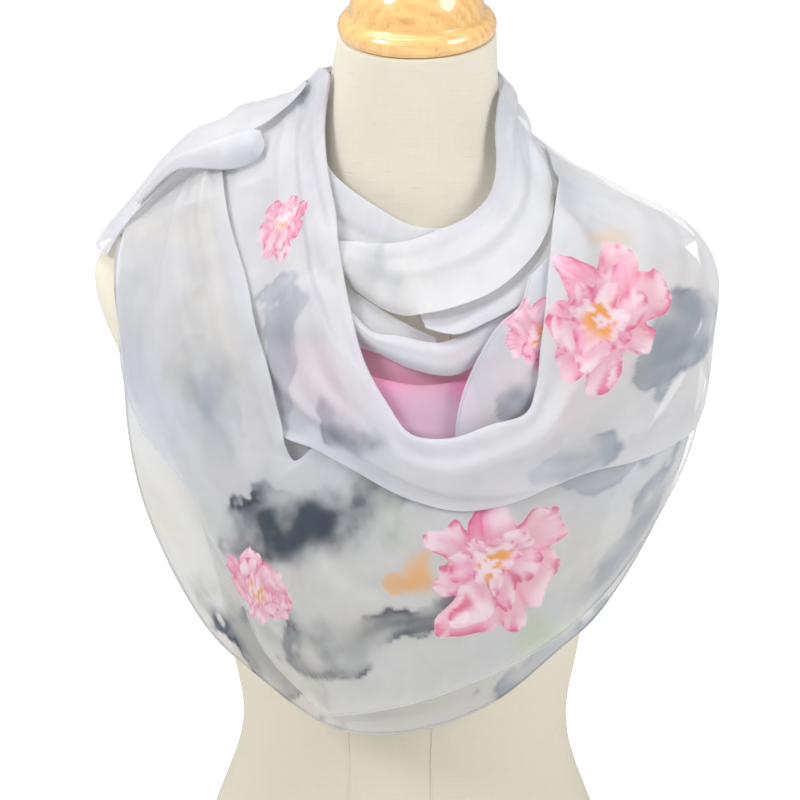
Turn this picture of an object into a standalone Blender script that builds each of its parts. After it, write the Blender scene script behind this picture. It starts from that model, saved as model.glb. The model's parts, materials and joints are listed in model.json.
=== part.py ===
"""Chiffon scarf worn on a dress form.

One rectangle of chiffon is folded so that its corner hangs at the front. Its two ends go over the shoulders, cross
behind the neck and come forward again, where they are tucked into the cowl. Every stretch that shows is a solid of its
own, a thin wall. The form is a covered torso on a flat base with a turned wooden neck cap.

Units are metres, +Z is up, the form faces -Y, and the origin is the centre of the flat underside.

A place on the scarf is given by its turn (degrees round the body from the front, + to +X), its drop (millimetres from
the top of the neck, measured down over the shoulder) and its rise (millimetres off the surface that the cloth hangs on).
"""
import math
from collections import namedtuple

import bmesh
import bpy
import numpy as np
from mathutils import Matrix

# ---------------------------------------------------------------------------------------------- driving dimensions
NAME = "chiffon_scarf_on_dress_form"
FORM_HEIGHT = 0.692          # underside to the top of the neck
NECK_TILT = 9.0              # degrees, the neck's top leans forward
CAP_RADIUS = 0.0487
CAP_GAP = 0.0003
WALL = 0.0010                # thickness of the cloth's wall
LAYER = 0.0032               # from one layer of cloth to the next, middle to middle
CELL = 0.016                 # length of a facet along a stretch
FORM_SIDES = 44              # facets round the torso

Section = namedtuple("Section", "name height half_width front back centre side squareness")

# the covered torso
FORM = [Section(*row) for row in (
    ("base",       0.000, 0.1620, 0.1060, 0.1120,  0.000,  0.000, 2.30),
    ("hip",        0.055, 0.1600, 0.1060, 0.1110,  0.000,  0.000, 2.30),
    ("high_hip",   0.120, 0.1400, 0.0990, 0.0980,  0.000,  0.000, 2.25),
    ("waist",      0.210, 0.1120, 0.0850, 0.0800,  0.000,  0.000, 2.20),
    ("midriff",    0.275, 0.1180, 0.0920, 0.0860,  0.000,  0.000, 2.20),
    ("under_bust", 0.330, 0.1270, 0.1030, 0.0940,  0.000,  0.000, 2.25),
    ("bust",       0.385, 0.1380, 0.1240, 0.0990,  0.000, -0.001, 2.35),
    ("upper_bust", 0.440, 0.1620, 0.1150, 0.1030,  0.000, -0.002, 2.35),
    ("chest",      0.490, 0.1870, 0.0980, 0.1040,  0.000, -0.004, 2.30),
    ("plate",      0.528, 0.1980, 0.0800, 0.0970,  0.000, -0.005, 2.20),
    ("shoulder",   0.551, 0.1870, 0.0660, 0.0870,  0.000, -0.004, 2.15),
    ("slope",      0.572, 0.1410, 0.0560, 0.0760,  0.000, -0.002, 2.10),
    ("neck_base",  0.593, 0.0880, 0.0520, 0.0640,  0.001,  0.001, 2.00),
    ("neck_low",   0.626, 0.0612, 0.0500, 0.0550,  0.000,  0.003, 2.00),
    ("neck_mid",   0.658, 0.0530, 0.0490, 0.0490, -0.005,  0.006, 2.00),
    ("neck_top",   FORM_HEIGHT, 0.0488, 0.0480, 0.0480, -0.012,  0.009, 2.00),
)]

# the surface that the innermost cloth lies or hangs on: it touches neck and shoulders and falls free below them
DRAPE = [Section(*row) for row in (
    ("neck_top",   FORM_HEIGHT, 0.0515, 0.0505, 0.0505, -0.012,  0.009, 2.00),
    ("neck_mid",   0.660, 0.0558, 0.0520, 0.0530, -0.005,  0.006, 2.00),
    ("neck_low",   0.629, 0.0640, 0.0545, 0.0610,  0.000,  0.003, 2.00),
    ("neck_base",  0.599, 0.0920, 0.0590, 0.0720,  0.001,  0.001, 2.00),
    ("slope",      0.577, 0.1460, 0.0660, 0.0820,  0.000, -0.002, 2.10),
    ("shoulder",   0.556, 0.1900, 0.0770, 0.0930,  0.000, -0.004, 2.20),
    ("plate",      0.530, 0.2010, 0.0940, 0.1060,  0.000, -0.005, 2.25),
    ("chest",      0.495, 0.1970, 0.1110, 0.1130,  0.000, -0.004, 2.25),
    ("upper_bust", 0.440, 0.1890, 0.1290, 0.1160,  0.000, -0.002, 2.20),
    ("bust",       0.385, 0.1740, 0.1370, 0.1160,  0.000, -0.001, 2.15),
    ("under_bust", 0.330, 0.1560, 0.1350, 0.1130,  0.000,  0.000, 2.10),
    ("midriff",    0.275, 0.1380, 0.1290, 0.1090,  0.000,  0.000, 2.10),
    ("waist",      0.210, 0.1250, 0.1190, 0.1040,  0.000,  0.000, 2.10),
    ("below",      0.150, 0.1220, 0.1130, 0.1010,  0.000,  0.000, 2.10),
)]

# where the cloth stands off that surface in a pouf: centre, height (mm), and how far it spreads (degrees, mm)
Pouf = namedtuple("Pouf", "turn drop height spread_turn spread_drop")
POUFS = [Pouf(*row) for row in (
    ( -97, 110, 32, 34, 50),
    ( -98, 166, 18.5, 26, 34),
    ( 101, 104,  9, 30, 50),
    (  74, 170,  5, 22, 45),
)]

# the neck cap's profile from its top to its underside, and the knob on it
Ring = namedtuple("Ring", "radius height")
CAP = [Ring(*row) for row in (
    (0.0000, 0.0800), (0.0070, 0.0792), (0.0125, 0.0755), (0.0150, 0.0700), (0.0135, 0.0640), (0.0095, 0.0590),
    (0.0085, 0.0545), (0.0110, 0.0505), (0.0190, 0.0470), (0.0285, 0.0415), (0.0362, 0.0330), (0.0405, 0.0230),
    (0.0416, 0.0150), (0.0428, 0.0128), (0.0464, 0.0112), (CAP_RADIUS, 0.0075), (CAP_RADIUS, 0.0035), (0.0472, 0.0006),
    (0.0460, 0.0000), (0.0000, 0.0000))]

# ---------------------------------------------------------------------------------------------- the scarf's stretches
# A stretch is a strip. A row is a station along it: where its inner edge and its outer edge are there.
Station = namedtuple("Station", "in_turn in_drop in_rise out_turn out_drop out_rise")


def stations(*rows):
    return [Station(*row) for row in rows]


# the layer behind, whose hem shows all round below the others
UNDER = stations(
    (-64, 172,  1,  -80, 206,  0),
    (-58, 200,  1,  -72, 232,  0),
    (-47, 224,  1,  -68.4, 262, 0),
    (-37, 228,  2,  -67.6, 318, 1),
    (-28, 232,  2,  -68, 382,  1),
    (-18, 238,  2,  -56, 412,  1),
    ( -6, 250,  2,  -36, 421,  1),
    (  6, 268,  2,  -14, 441,  1),
    ( 18, 280,  2,    8, 439,  1),
    ( 30, 288,  2,   30, 424,  1),
    ( 44, 286,  2,   48, 402,  0),
    ( 58, 280,  1,   60, 394,  0),
    ( 72, 272,  0,   76, 366,  0),
    ( 84, 262,  0,   92, 322,  0))
# the front layer: a panel from the left shoulder, then the wide part below the cowl, with one corner on its hem
FRONT = stations(
    (-84,   118,  6,  -92,   150,  1),
    (-74,   128,  8,  -86,   176,  0),
    (-65,   138, 11,  -80,   198,  0),
    (-56,   150, 12,  -74.6, 216,  1),
    (-48,   164, 12,  -71,   232,  3),
    (-41,   180, 12,  -69,   250,  4),
    (-35,   198, 12,  -67,   272,  5),
    (-30,   217, 11,  -61,   288,  5),
    (-26,   240, 10,  -50,   298,  5),
    (-22,   262,  8,  -43.5, 322,  5),
    (-14,   244,  6,  -36,   356,  5),
    ( -5,   242,  6,  -31,   394,  5),
    (  2,   244,  6,  -14.5, 430,  5),
    ( 12,   254,  6,    8,   415,  5),
    ( 27,   258,  6,   27,   400,  5),
    ( 42,   256,  6,   42,   388,  4),
    ( 57,   252,  5,   55,   374,  3),
    ( 71,   250,  3,   72,   348,  3),
    ( 81,   246,  2,   90,   320,  3))
FRONT_CORNER = 12
FRONT_LEFT = 9               # stations before this one lie on the cowl, those after it under it
# the cowl: from behind the neck on the left, down, round the front and up to the right shoulder
COWL = stations(
    (-158,    32,  4, -156,    80,  4),
    (-128,    34,  3, -132,    92,  4),
    (-104,    33,  3, -110,   100,  4),
    ( -84,    26,  2,  -92,   108,  4),
    ( -67,    27,  2,  -80,   118,  5),
    ( -59,    45,  3,  -74,   130,  5),
    ( -47,    70,  6,  -66,   146,  5),
    ( -37,    92, 10,  -57,   164,  5),
    ( -28.5, 111, 13,  -49,   180,  6),
    ( -22.5, 128, 15,  -42,   198,  7),
    ( -15.5, 150, 17,  -35,   222,  9),
    (  -9,   174, 19,  -26.5, 246, 11),
    (  -3,   200, 22,  -16,   252, 14),
    (   3.8, 222, 23,   -5,   262, 17),
    (  10,   239, 25,    7,   275, 18),
    (  20,   242, 26,   20,   284, 18),
    (  30,   236, 26,   32,   283, 17),
    (  38.5, 232, 24,   42,   277, 14),
    (  42.5, 218, 20,   51,   276, 11),
    (  46,   197, 17,   60,   283,  8),
    (  51,   174, 14,   70,   294,  6),
    (  56.5, 152, 12,   80,   306,  5),
    (  62,   134, 10,   88,   300,  4),
    (  70,   118,  8,   94,   280,  4),
    (  82,   102,  5,   98,   252,  3),
    (  94,    88,  3,  100,   220,  4))
# over the left shoulder, from its front edge to the nape
SHOULDER_LEFT = stations(
    ( -75.5, 36, 8,  -79.5, 221,  0),
    ( -85,  38,  7,  -84, 228, -2),
    ( -98,  40,  6,  -94, 235, -2),
    (-112,  40,  6, -112, 230,  1),
    (-127,  36,  8, -131, 204,  5),
    (-144,  32, 10, -146, 178,  8),
    (-160,  28, 11, -160, 152,  9),
    (-174,  23, 11, -174, 130, 10),
    (-187,  20, 11, -189, 112, 10))
# the same end goes on round the nape to the right side of the neck and down to the front
NECK_RIGHT = stations(
    (-187,  20, 11, -189, 112, 10),
    (-207,  22,  8, -209,  88,  9),
    (-230,  28,  4, -232,  76,  7),
    (-252,  33,  1, -256,  70,  6),
    (-272,  34,  0, -276,  76,  8),
    (-287,  37,  2, -281,  90, 11),
    (-296,  52,  4, -286, 104, 13),
    (-303,  78,  6, -292, 118, 14),
    (-311,  97,  7, -299, 134, 15),
    (-322, 109,  8, -308, 148, 16),
    (-336, 116,  8, -322, 163, 16),
    (-349, 122,  8, -339, 170, 15),
    (-364, 125,  9, -352, 170, 14),
    (-376, 125,  9, -366, 160, 12),
    (-390, 127,  9, -382, 142, 10))
# over the right shoulder, from under the cowl to the nape
SHOULDER_RIGHT = stations(
    (  72,  98,  1,   76, 190,  1),
    (  88,  74,  1,   92, 204,  1),
    ( 104,  60,  2,  108, 208,  2),
    ( 122,  50,  4,  124, 196,  4),
    ( 142,  40,  6,  143, 170,  6),
    ( 162,  32,  7,  163, 142,  6),
    ( 184,  26,  6,  186, 118,  6),
    ( 206,  26,  6,  208, 100,  6))
# the other end, which comes forward on the left side of the neck
NECK_LEFT = stations(
    (-160,  24,  1, -160,  66,  2),
    (-128,  26,  1, -130,  66,  2),
    ( -98,  30,  1, -100,  72,  2),
    ( -72,  44,  1,  -78,  92,  2),
    ( -56,  62,  1,  -58, 112,  3),
    ( -44,  80,  2,  -42, 126,  4),
    ( -28,  91,  4,  -28, 132,  4),
    (  -8, 102,  4,  -12, 136,  4),
    (  10, 111,  4,    8, 138,  4),
    (  28, 114,  4,   26, 140,  4))
# inside the cowl, from the neck outwards
FOLD_INNER = stations(
    (  12, 150,  8,   17, 178, 10),
    (  24, 148,  9,   26, 183, 11),
    (  34, 142,  9,   35, 178, 11),
    (  44, 132,  8,   44, 172, 10),
    (  54, 118,  7,   54, 164,  9),
    (  66, 104,  6,   63, 142,  7))
FOLD_PLEAT = stations(
    ( -40, 148,  5,  -42, 178,  5),
    ( -24, 148,  6,  -26, 180,  6),
    (  -8, 159,  7,  -10, 188,  7),
    (   6, 171,  8,    5, 194,  8),
    (  20, 183,  7,   19, 200,  7))
ROLL = stations(
    ( -34,   166,  6,  -34, 186,  6),
    ( -20,   162,  8,  -20, 184,  8),
    ( -10,   170, 10,   -8, 184, 10),
    (  -1,   181, 14,    2, 193, 13),
    (   8,   183, 17,   12, 201, 16),
    (  21.5, 187, 18,   23, 205, 16),
    (  33,   178, 15,   31, 198, 14),
    (  44,   168, 11,   43, 183, 11),
    (  53,   156,  8,   53, 174,  8),
    (  62,   138,  6,   64, 154,  6))
TUCKED_END = stations(
    (  50,   158, 15,   64, 142,  9),
    (  45,   173, 17,   62, 165,  9),
    (  38.5, 181, 19,   58, 184,  9),
    (  33,   192, 20,   54, 204, 10),
    (  28,   206, 20,   50, 222, 10),
    (  24.5, 220, 19,   47, 236, 10),
    (  22.4, 234, 17,   43, 243,  9),
    (  21.8, 245, 14,   40, 250,  8))
BED = stations(
    ( -34, 196,  2,  -36, 214,  2),
    ( -18, 186,  3,  -20, 232,  3),
    (  -2, 188,  3,   -4, 250,  3),
    (  14, 192,  3,   14, 258,  3),
    (  30, 184,  3,   32, 258,  3),
    (  46, 168,  2,   50, 246,  2),
    (  60, 156,  2,   64, 232,  2))
BED_FOLD = stations(
    ( -28, 214,  4,  -30, 226,  4),
    ( -14, 202,  7,  -16, 236,  6),
    (   0, 207,  9,   -2, 246,  8),
    (  14, 211, 10,   14, 252,  8),
    (  28, 208,  8,   30, 250,  7))
# a short end of cloth rolled up and tucked on the left shoulder
TUCK = stations(
    ( -74,    91,  7,  -71,   93,  7),
    ( -76.2,  97, 10,  -68.8, 101, 11),
    ( -77,   107, 11,  -68.9, 112, 12),
    ( -77.8, 120, 11,  -70.6, 125, 12),
    ( -78.6, 134,  9,  -74,   139, 10),
    ( -79.6, 149,  6,  -77.2, 154,  7),
    ( -80,   166,  4,  -78.4, 169,  4),
    ( -80.2, 182,  2,  -79.2, 184,  2))

# How a stretch is made: the stretches that it lies on, how far its middle bellies out (mm), facets across, and
# how far each edge is rolled under (mm, inner and outer).
Make = namedtuple("Make", "name rows on belly across roll_in roll_out corner")
MAKES = [Make(*row) for row in (
    ("scarf_under_layer",    UNDER,          (),                        0.0, 6, 0, 0, None),
    ("scarf_cowl_bed",       BED,            ("scarf_under_layer",),    0.0, 4, 0, 0, None),
    ("scarf_cowl_bed_fold",  BED_FOLD,       ("*",),                    1.5, 3, 3, 0, None),
    ("scarf_neck_left",      NECK_LEFT,      (),                        1.0, 3, 2, 0, None),
    ("scarf_inner_pleat",    FOLD_PLEAT,     ("*",),                    0.5, 2, 0, 0, None),
    ("scarf_inner_roll",     ROLL,           ("*",),                    5.0, 4, 4, 4, None),
    ("scarf_inner_fold",     FOLD_INNER,     ("*",),                    1.5, 3, 0, 3, None),
    ("scarf_shoulder_right", SHOULDER_RIGHT, ("*",),                    1.0, 6, 0, 0, None),
    ("scarf_neck_right",     NECK_RIGHT,     ("*",),                    4.0, 4, 2, 4, None),
    ("scarf_tucked_end",     TUCKED_END,     ("*",),                    1.0, 3, 0, 0, None),
    ("scarf_front_layer",    FRONT,          ("scarf_under_layer", "scarf_cowl_bed", "scarf_cowl_bed_fold"), 1.0, 6, 0, 0, FRONT_CORNER),
    ("scarf_cowl",           COWL,           ("*",),                    0.0, 6, 5, 5, None),
    ("scarf_shoulder_left",  SHOULDER_LEFT,  ("*",),                    4.0, 6, 2, 0, None),
    ("scarf_shoulder_tuck",  TUCK,           ("*",),                    8.0, 4, 4, 4, None),
)]
ROUND_WIDTH = 0.018          # a stretch narrower than this bellies out less
SEAM = 0.00015               # each side of the join between the left shoulder's stretch and the neck's right one

# Soft folds that run along a stretch: from (along, across) to (along, across), in stations and in parts of the width,
# how high (mm, minus for a trough) and how wide (mm) each is.
Fold = namedtuple("Fold", "stretch from_along from_across to_along to_across height width")
FOLDS = [Fold(*row) for row in (
    ("scarf_cowl",           14.0, 0.45, 19.0, 0.40,  3.0, 30),
    ("scarf_cowl",           17.5, 0.62, 22.0, 0.50, -3.0, 20),
    ("scarf_front_layer",     2.0, 0.25,  8.0, 0.35, -3.0, 22),
    ("scarf_front_layer",     9.0, 0.10, 16.0, 0.40,  3.0, 26),
    ("scarf_shoulder_left",   0.5, 0.62,  7.0, 0.60, -1.5, 20),
    ("scarf_shoulder_right",  1.0, 0.35,  7.0, 0.30, -3.5, 14),
    ("scarf_shoulder_right",  1.5, 0.70,  7.0, 0.62, -3.0, 16),
    ("scarf_neck_right",      1.0, 0.55,  8.0, 0.50, -3.0, 12),
)]
# Folded edges that show as a step on a stretch: points of the line along it, how far the side beyond the line stands
# out (mm, minus for in), and over how many millimetres.
Ledge = namedtuple("Ledge", "stretch line along across height width")
LEDGES = [Ledge(*row) for row in (
    ("scarf_cowl",        "outer_fold",  2.5, 0.30,  0.0, 5),
    ("scarf_cowl",        "outer_fold",  4.0, 0.31,  4.0, 5),
    ("scarf_cowl",        "outer_fold",  9.0, 0.32,  5.5, 5),
    ("scarf_cowl",        "outer_fold", 10.0, 0.25,  5.5, 5),
    ("scarf_cowl",        "outer_fold", 11.0, 0.20,  4.5, 5),
    ("scarf_cowl",        "outer_fold", 12.5, 0.04,  0.0, 5),
    ("scarf_cowl",        "belly",       9.0, 0.90,  0.0, 5),
    ("scarf_cowl",        "belly",      10.0, 0.86, -3.5, 5),
    ("scarf_cowl",        "belly",      11.0, 0.76, -5.0, 5),
    ("scarf_cowl",        "belly",      13.0, 0.81, -5.5, 5),
    ("scarf_cowl",        "belly",      14.0, 0.75, -5.5, 5),
    ("scarf_cowl",        "belly",      15.0, 0.77, -5.5, 5),
    ("scarf_cowl",        "belly",      16.0, 0.88, -4.0, 5),
    ("scarf_cowl",        "belly",      17.0, 0.98,  0.0, 5),
    ("scarf_front_layer", "side_fold",   0.0, 0.40,  0.0, 5),
    ("scarf_front_layer", "side_fold",   1.0, 0.43, -3.0, 5),
    ("scarf_front_layer", "side_fold",   2.0, 0.50, -4.5, 5),
    ("scarf_front_layer", "side_fold",   3.0, 0.58, -5.0, 5),
    ("scarf_front_layer", "side_fold",   5.0, 0.70, -4.5, 5),
    ("scarf_front_layer", "side_fold",   8.0, 0.80,  0.0, 5),
)]


# ---------------------------------------------------------------------------------------------- curves and surfaces
def through(rows, at, corner=None):
    """values at the places `at` (in rows) on a smooth line through the rows, with a corner kept at one row"""
    p = np.asarray(rows, float)
    n = len(p)
    i = np.clip(np.floor(at).astype(int), 0, n - 2)
    t = (np.asarray(at, float) - i)[:, None]
    step = np.diff(p, axis=0)
    left, right = np.empty_like(p), np.empty_like(p)
    left[1:-1] = right[1:-1] = (p[2:] - p[:-2]) / 2
    left[0] = right[0] = step[0]
    left[-1] = right[-1] = step[-1]
    if corner is not None:
        left[corner], right[corner] = step[corner - 1], step[corner]
    a, b, ma, mb = p[i], p[i + 1], right[i], left[i + 1]
    return ((2*t**3 - 3*t**2 + 1)*a + (t**3 - 2*t**2 + t)*ma + (3*t**2 - 2*t**3)*b + (t**3 - t**2)*mb)


def ring(section, turn):
    """points of a section at the turns given (radians)"""
    s, k = np.sin(turn), np.cos(turn)
    depth = np.where(k > 0, section.front, section.back)
    n = section.squareness
    r = (np.abs(s / section.half_width)**n + np.abs(k / depth)**n)**(-1.0 / n)
    return np.stack([section.side + r*s, section.centre - r*k, np.full_like(r, section.height)], -1)


def natural_spline(t, y, x):
    """the natural cubic spline through y at t, read at x"""
    k, h = len(t), np.diff(t)
    a, b = np.zeros((k, k)), np.zeros_like(y)
    a[0, 0] = a[-1, -1] = 1
    for i in range(1, k - 1):
        a[i, i-1:i+2] = h[i-1], 2*(h[i-1] + h[i]), h[i]
        b[i] = 6*((y[i+1] - y[i])/h[i] - (y[i] - y[i-1])/h[i-1])
    m = np.linalg.solve(a, b)
    i = np.clip(np.searchsorted(t, x, side="right") - 1, 0, k - 2)
    h = h[i][:, None]
    p, q = (t[i+1] - x)[:, None]/h, (x - t[i])[:, None]/h
    return p*y[i] + q*y[i+1] + ((p**3 - p)*m[i] + (q**3 - q)*m[i+1])*h*h/6


class Surface:
    """a stack of sections as one surface, read by turn (degrees) and drop (metres)"""

    def __init__(self, sections, fine=500, step=0.002):
        self.turn = np.radians(np.arange(-180, 180.25, 0.5))
        stack = np.stack([ring(s, self.turn) for s in sections], 1)
        lines = []
        for p in stack:
            t = np.concatenate([[0], np.cumsum(np.sqrt(np.linalg.norm(np.diff(p, axis=0), axis=1)))])
            lines.append(natural_spline(t, p, np.linspace(0, t[-1], fine)))
        lines = np.array(lines)
        run = np.linalg.norm(np.diff(lines, axis=1), axis=2).cumsum(1)
        run = np.concatenate([np.zeros((len(lines), 1)), run], 1)
        self.step = step
        self.drop = np.arange(0, run[:, -1].min(), step)
        self.p = np.array([[np.interp(self.drop, r, q[:, k]) for k in range(3)] for r, q in zip(run, lines)])
        self.p = self.p.transpose(0, 2, 1)
        self.p = self.p + self.normals()*self.pouf()[..., None]
        self.n = self.normals()

    def normals(self):
        round_it = np.gradient(self.p, axis=0)
        round_it[0] = round_it[-1] = (self.p[1] - self.p[-2])/2
        n = np.cross(np.gradient(self.p, axis=1), round_it)
        return n / np.linalg.norm(n, axis=2, keepdims=True)

    def pouf(self):
        """how far the cloth stands off here, in metres"""
        turn, drop = np.degrees(self.turn)[:, None], self.drop[None, :]*1000
        high = sum(f.height*np.exp(-(np.mod(turn - f.turn + 180, 360) - 180)**2/f.spread_turn**2
                                   - (drop - f.drop)**2/f.spread_drop**2) for f in POUFS)
        return high/1000*np.clip(drop/30, 0, 1)**2

    def at(self, turn, drop):
        x = np.mod(np.asarray(turn, float) + 180, 360) * (len(self.turn) - 1)/360
        y = np.clip(np.asarray(drop, float)/self.step, 0, len(self.drop) - 1.001)
        i, j = np.clip(np.floor(x).astype(int), 0, len(self.turn) - 2), np.floor(y).astype(int)
        u, v = (x - i)[..., None], (y - j)[..., None]
        p, n = ((t[i, j]*(1-u) + t[i+1, j]*u)*(1-v) + (t[i, j+1]*(1-u) + t[i+1, j+1]*u)*v for t in (self.p, self.n))
        return p, n/np.linalg.norm(n, axis=-1, keepdims=True)


# ---------------------------------------------------------------------------------------------- laying one on another
TURN_CELL, DROP_CELL = 2.0, 0.004
TURNS, DROPS = int(360/TURN_CELL), 125


def spread(field, turns, drops, use):
    """each cell takes the highest, or the mean, of the cells around it"""
    out = []
    for i in range(-turns, turns + 1):
        for j in range(-drops, drops + 1):
            f = np.roll(field, i, 0)
            f = np.roll(f, j, 1)
            if j > 0:
                f[:, :j] = field[:, :1]
            elif j < 0:
                f[:, j:] = field[:, -1:]
            out.append(f)
    return use(np.array(out), axis=0)


def height_map(turn, drop, rise):
    """the highest rise in every cell that a stretch covers"""
    field = np.zeros((TURNS, DROPS))
    nu, nv = turn.shape
    u = np.linspace(0, nu - 1, nu*6)
    v = np.linspace(0, nv - 1, nv*6)
    i, j = np.minimum(u.astype(int), nu - 2)[:, None], np.minimum(v.astype(int), nv - 2)[None, :]
    a, b = u[:, None] - i, v[None, :] - j
    t, d, r = ((q[i, j]*(1-a) + q[i+1, j]*a)*(1-b) + (q[i, j+1]*(1-a) + q[i+1, j+1]*a)*b for q in (turn, drop, rise))
    x = np.mod(np.round(t/TURN_CELL), TURNS).astype(int).ravel()
    y = np.clip(np.round(d/DROP_CELL), 0, DROPS - 1).astype(int).ravel()
    np.maximum.at(field, (x, y), r.ravel())
    return field


def read_map(field, turn, drop):
    x, y = np.mod(turn/TURN_CELL, TURNS), np.clip(drop/DROP_CELL, 0, DROPS - 1.001)
    i, j = np.floor(x).astype(int) % TURNS, np.floor(y).astype(int)
    u, v = x - np.floor(x), y - j
    k = (i + 1) % TURNS
    return (field[i, j]*(1-u) + field[k, j]*u)*(1-v) + (field[i, j+1]*(1-u) + field[k, j+1]*u)*v


def stretch_grid(make, cell, across):
    """turn, drop and rise of a strip's points, and each point's place along (stations) and across (0 to 1)"""
    rows = [tuple(r) for r in make.rows]
    edges = np.array([[(r.in_turn, r.in_drop), (r.out_turn, r.out_drop)] for r in make.rows])
    where = drape.at(edges[..., 0], edges[..., 1]/1000)[0]
    at = [0.0]
    for k, length in enumerate(np.linalg.norm(np.diff(where, axis=0), axis=2).mean(1)):
        n = max(1, round(length/cell))
        at += [k + (i + 1)/n for i in range(n)]
    at = np.array(at)
    line = through(rows, at, make.corner)
    v = np.linspace(0, 1, across + 1)
    turn = line[:, 0:1]*(1-v) + line[:, 3:4]*v
    drop = (line[:, 1:2]*(1-v) + line[:, 4:5]*v)/1000
    along, over = np.broadcast_to(at[:, None], turn.shape), np.broadcast_to(v, turn.shape)
    wide = np.hypot(np.radians(line[:, 3] - line[:, 0])*0.12, (line[:, 4] - line[:, 1])/1000)[:, None]
    belly = make.belly*np.sin(np.pi*v)*np.clip(wide/ROUND_WIDTH, 0, 1)
    rise = (line[:, 2:3]*(1-v) + line[:, 5:6]*v + belly)/1000
    for f in FOLDS:
        if f.stretch == make.name:
            t = np.clip((along - f.from_along)/(f.to_along - f.from_along), 0, 1)
            centre = f.from_across + (f.to_across - f.from_across)*t
            off = (over - centre)*wide/(f.width/1000/2)
            rise = rise + f.height/1000*np.exp(-off*off)*np.sin(np.pi*t)**0.7
    for line in sorted({g.line for g in LEDGES if g.stretch == make.name}):
        g = [g for g in LEDGES if (g.stretch, g.line) == (make.name, line)]
        centre, height = (np.interp(along, [r.along for r in g], [r[k] for r in g]) for k in (3, 4))
        off = np.clip((over - centre)*wide/(g[0].width/1000) + 0.5, 0, 1)
        rise = rise + height/1000*off*off*(3 - 2*off)
    for roll, far in ((make.roll_in, over), (make.roll_out, 1 - over)):
        if roll:
            x = np.clip(1 - far*wide/(roll*0.0012), 0, 1)
            rise = rise - roll/1000*(1 - np.sqrt(1 - x*x*0.98))*0.6
    return turn, drop, rise, along, over


def lay_all(cell, finer=2):
    """every stretch's points, each one kept at least a layer above those that it lies on"""
    maps, grids = {}, {}

    def lay(make, on, part=None):
        turn, drop, rise, along, over = grids.get(make.name) or stretch_grid(make, cell/finer, make.across*finer)
        below = [maps[n] for n in on]
        if below:
            top = np.max(below, axis=0)
            top = np.where(top > 0, top + LAYER, 0)
            top = spread(spread(top, 3, 2, np.max), 1, 1, np.mean)
            lift = read_map(top, turn, drop)
            keep = np.ones_like(rise) if part is None else part(along)
            rise = np.maximum(rise, lift*keep)
        return turn, drop, rise, along, over

    for make in MAKES:
        on = list(maps) if make.on == ("*",) else list(make.on)
        if make.name == "scarf_shoulder_left":
            on = [n for n in on if n != "scarf_neck_right"]
        grids[make.name] = lay(make, on)
        turn, drop, rise, along, over = grids[make.name]
        if make.name == "scarf_front_layer":
            low = along[:, 0] >= FRONT_LEFT - 0.5
            maps[make.name] = height_map(turn[low], drop[low], rise[low])
        else:
            maps[make.name] = height_map(turn, drop, rise)
        if make.name == "scarf_cowl":
            front = next(m for m in MAKES if m.name == "scarf_front_layer")
            ease = lambda along: np.clip((FRONT_LEFT - along)/0.5, 0, 1)
            grids[front.name] = lay(front, [n for n in maps if n != front.name], ease)
            turn, drop, rise, along, over = grids[front.name]
            maps[front.name] = height_map(turn, drop, rise)
    return grids


# ---------------------------------------------------------------------------------------------- scene
for obj in list(bpy.data.objects):
    bpy.data.objects.remove(obj, do_unlink=True)
parts = bpy.data.collections.new(NAME)
bpy.context.scene.collection.children.link(parts)


def material(name, colour, roughness, metallic=0.0, alpha=1.0):
    m = bpy.data.materials.new(name)
    m.use_nodes = True
    shader = m.node_tree.nodes["Principled BSDF"]
    shader.inputs["Base Color"].default_value = (*colour, 1.0)
    shader.inputs["Roughness"].default_value = roughness
    shader.inputs["Metallic"].default_value = metallic
    shader.inputs["Alpha"].default_value = alpha
    return m


def add(name, bm, mat, smooth=True):
    mesh = bpy.data.meshes.new(name)
    bm.to_mesh(mesh)
    bm.free()
    obj = bpy.data.objects.new(name, mesh)
    parts.objects.link(obj)
    mesh.materials.append(mat)
    if smooth:
        mesh.shade_smooth()
    return obj


LINEN = material("form_linen", (0.78, 0.74, 0.64), 0.85)
WOOD = material("cap_wood", (0.80, 0.52, 0.24), 0.35)
PALE = material("chiffon_pale", (0.82, 0.83, 0.87), 0.65)
GREY = material("chiffon_slate", (0.55, 0.60, 0.68), 0.65)
PINK = material("chiffon_pink", (0.93, 0.60, 0.70), 0.65)


def tilt(points, section_height):
    """lean the neck's rings forward, fully at the top"""
    lean = np.clip((section_height - 0.615)/(FORM_HEIGHT - 0.615), 0, 1)
    points = points.copy()
    points[:, 2] += math.tan(math.radians(NECK_TILT))*(points[:, 1] - FORM[-1].centre)*lean
    return points


# the torso: rings every few centimetres on a smooth line through the sections
turns = np.radians(np.arange(FORM_SIDES)*360/FORM_SIDES)
stack = np.stack([ring(s, turns) for s in FORM], 0)
height = np.array([s.height for s in FORM])
levels = [h for a, b in zip(height, height[1:]) for h in (a, (a + b)/2)] + [height[-1]]
levels = [h for h in levels if h not in ((height[0] + height[1])/2,)]
rings = []
for h in levels:
    t = np.interp(h, height, np.arange(len(height)))
    p = through(stack.reshape(len(FORM), -1), np.array([t])).reshape(FORM_SIDES, 3)
    p[:, 2] = h
    rings.append(tilt(p, h))
bm = bmesh.new()
verts = [[bm.verts.new(p) for p in r] for r in rings]
for a, b in zip(verts, verts[1:]):
    for i in range(FORM_SIDES):
        j = (i + 1) % FORM_SIDES
        bm.faces.new((a[i], a[j], b[j], b[i]))
bm.faces.new(list(reversed(verts[0])))
bm.faces.new(verts[-1])
bmesh.ops.recalc_face_normals(bm, faces=bm.faces)
torso = add("form_torso", bm, LINEN)
torso.data.set_sharp_from_angle(angle=math.radians(50))

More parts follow.
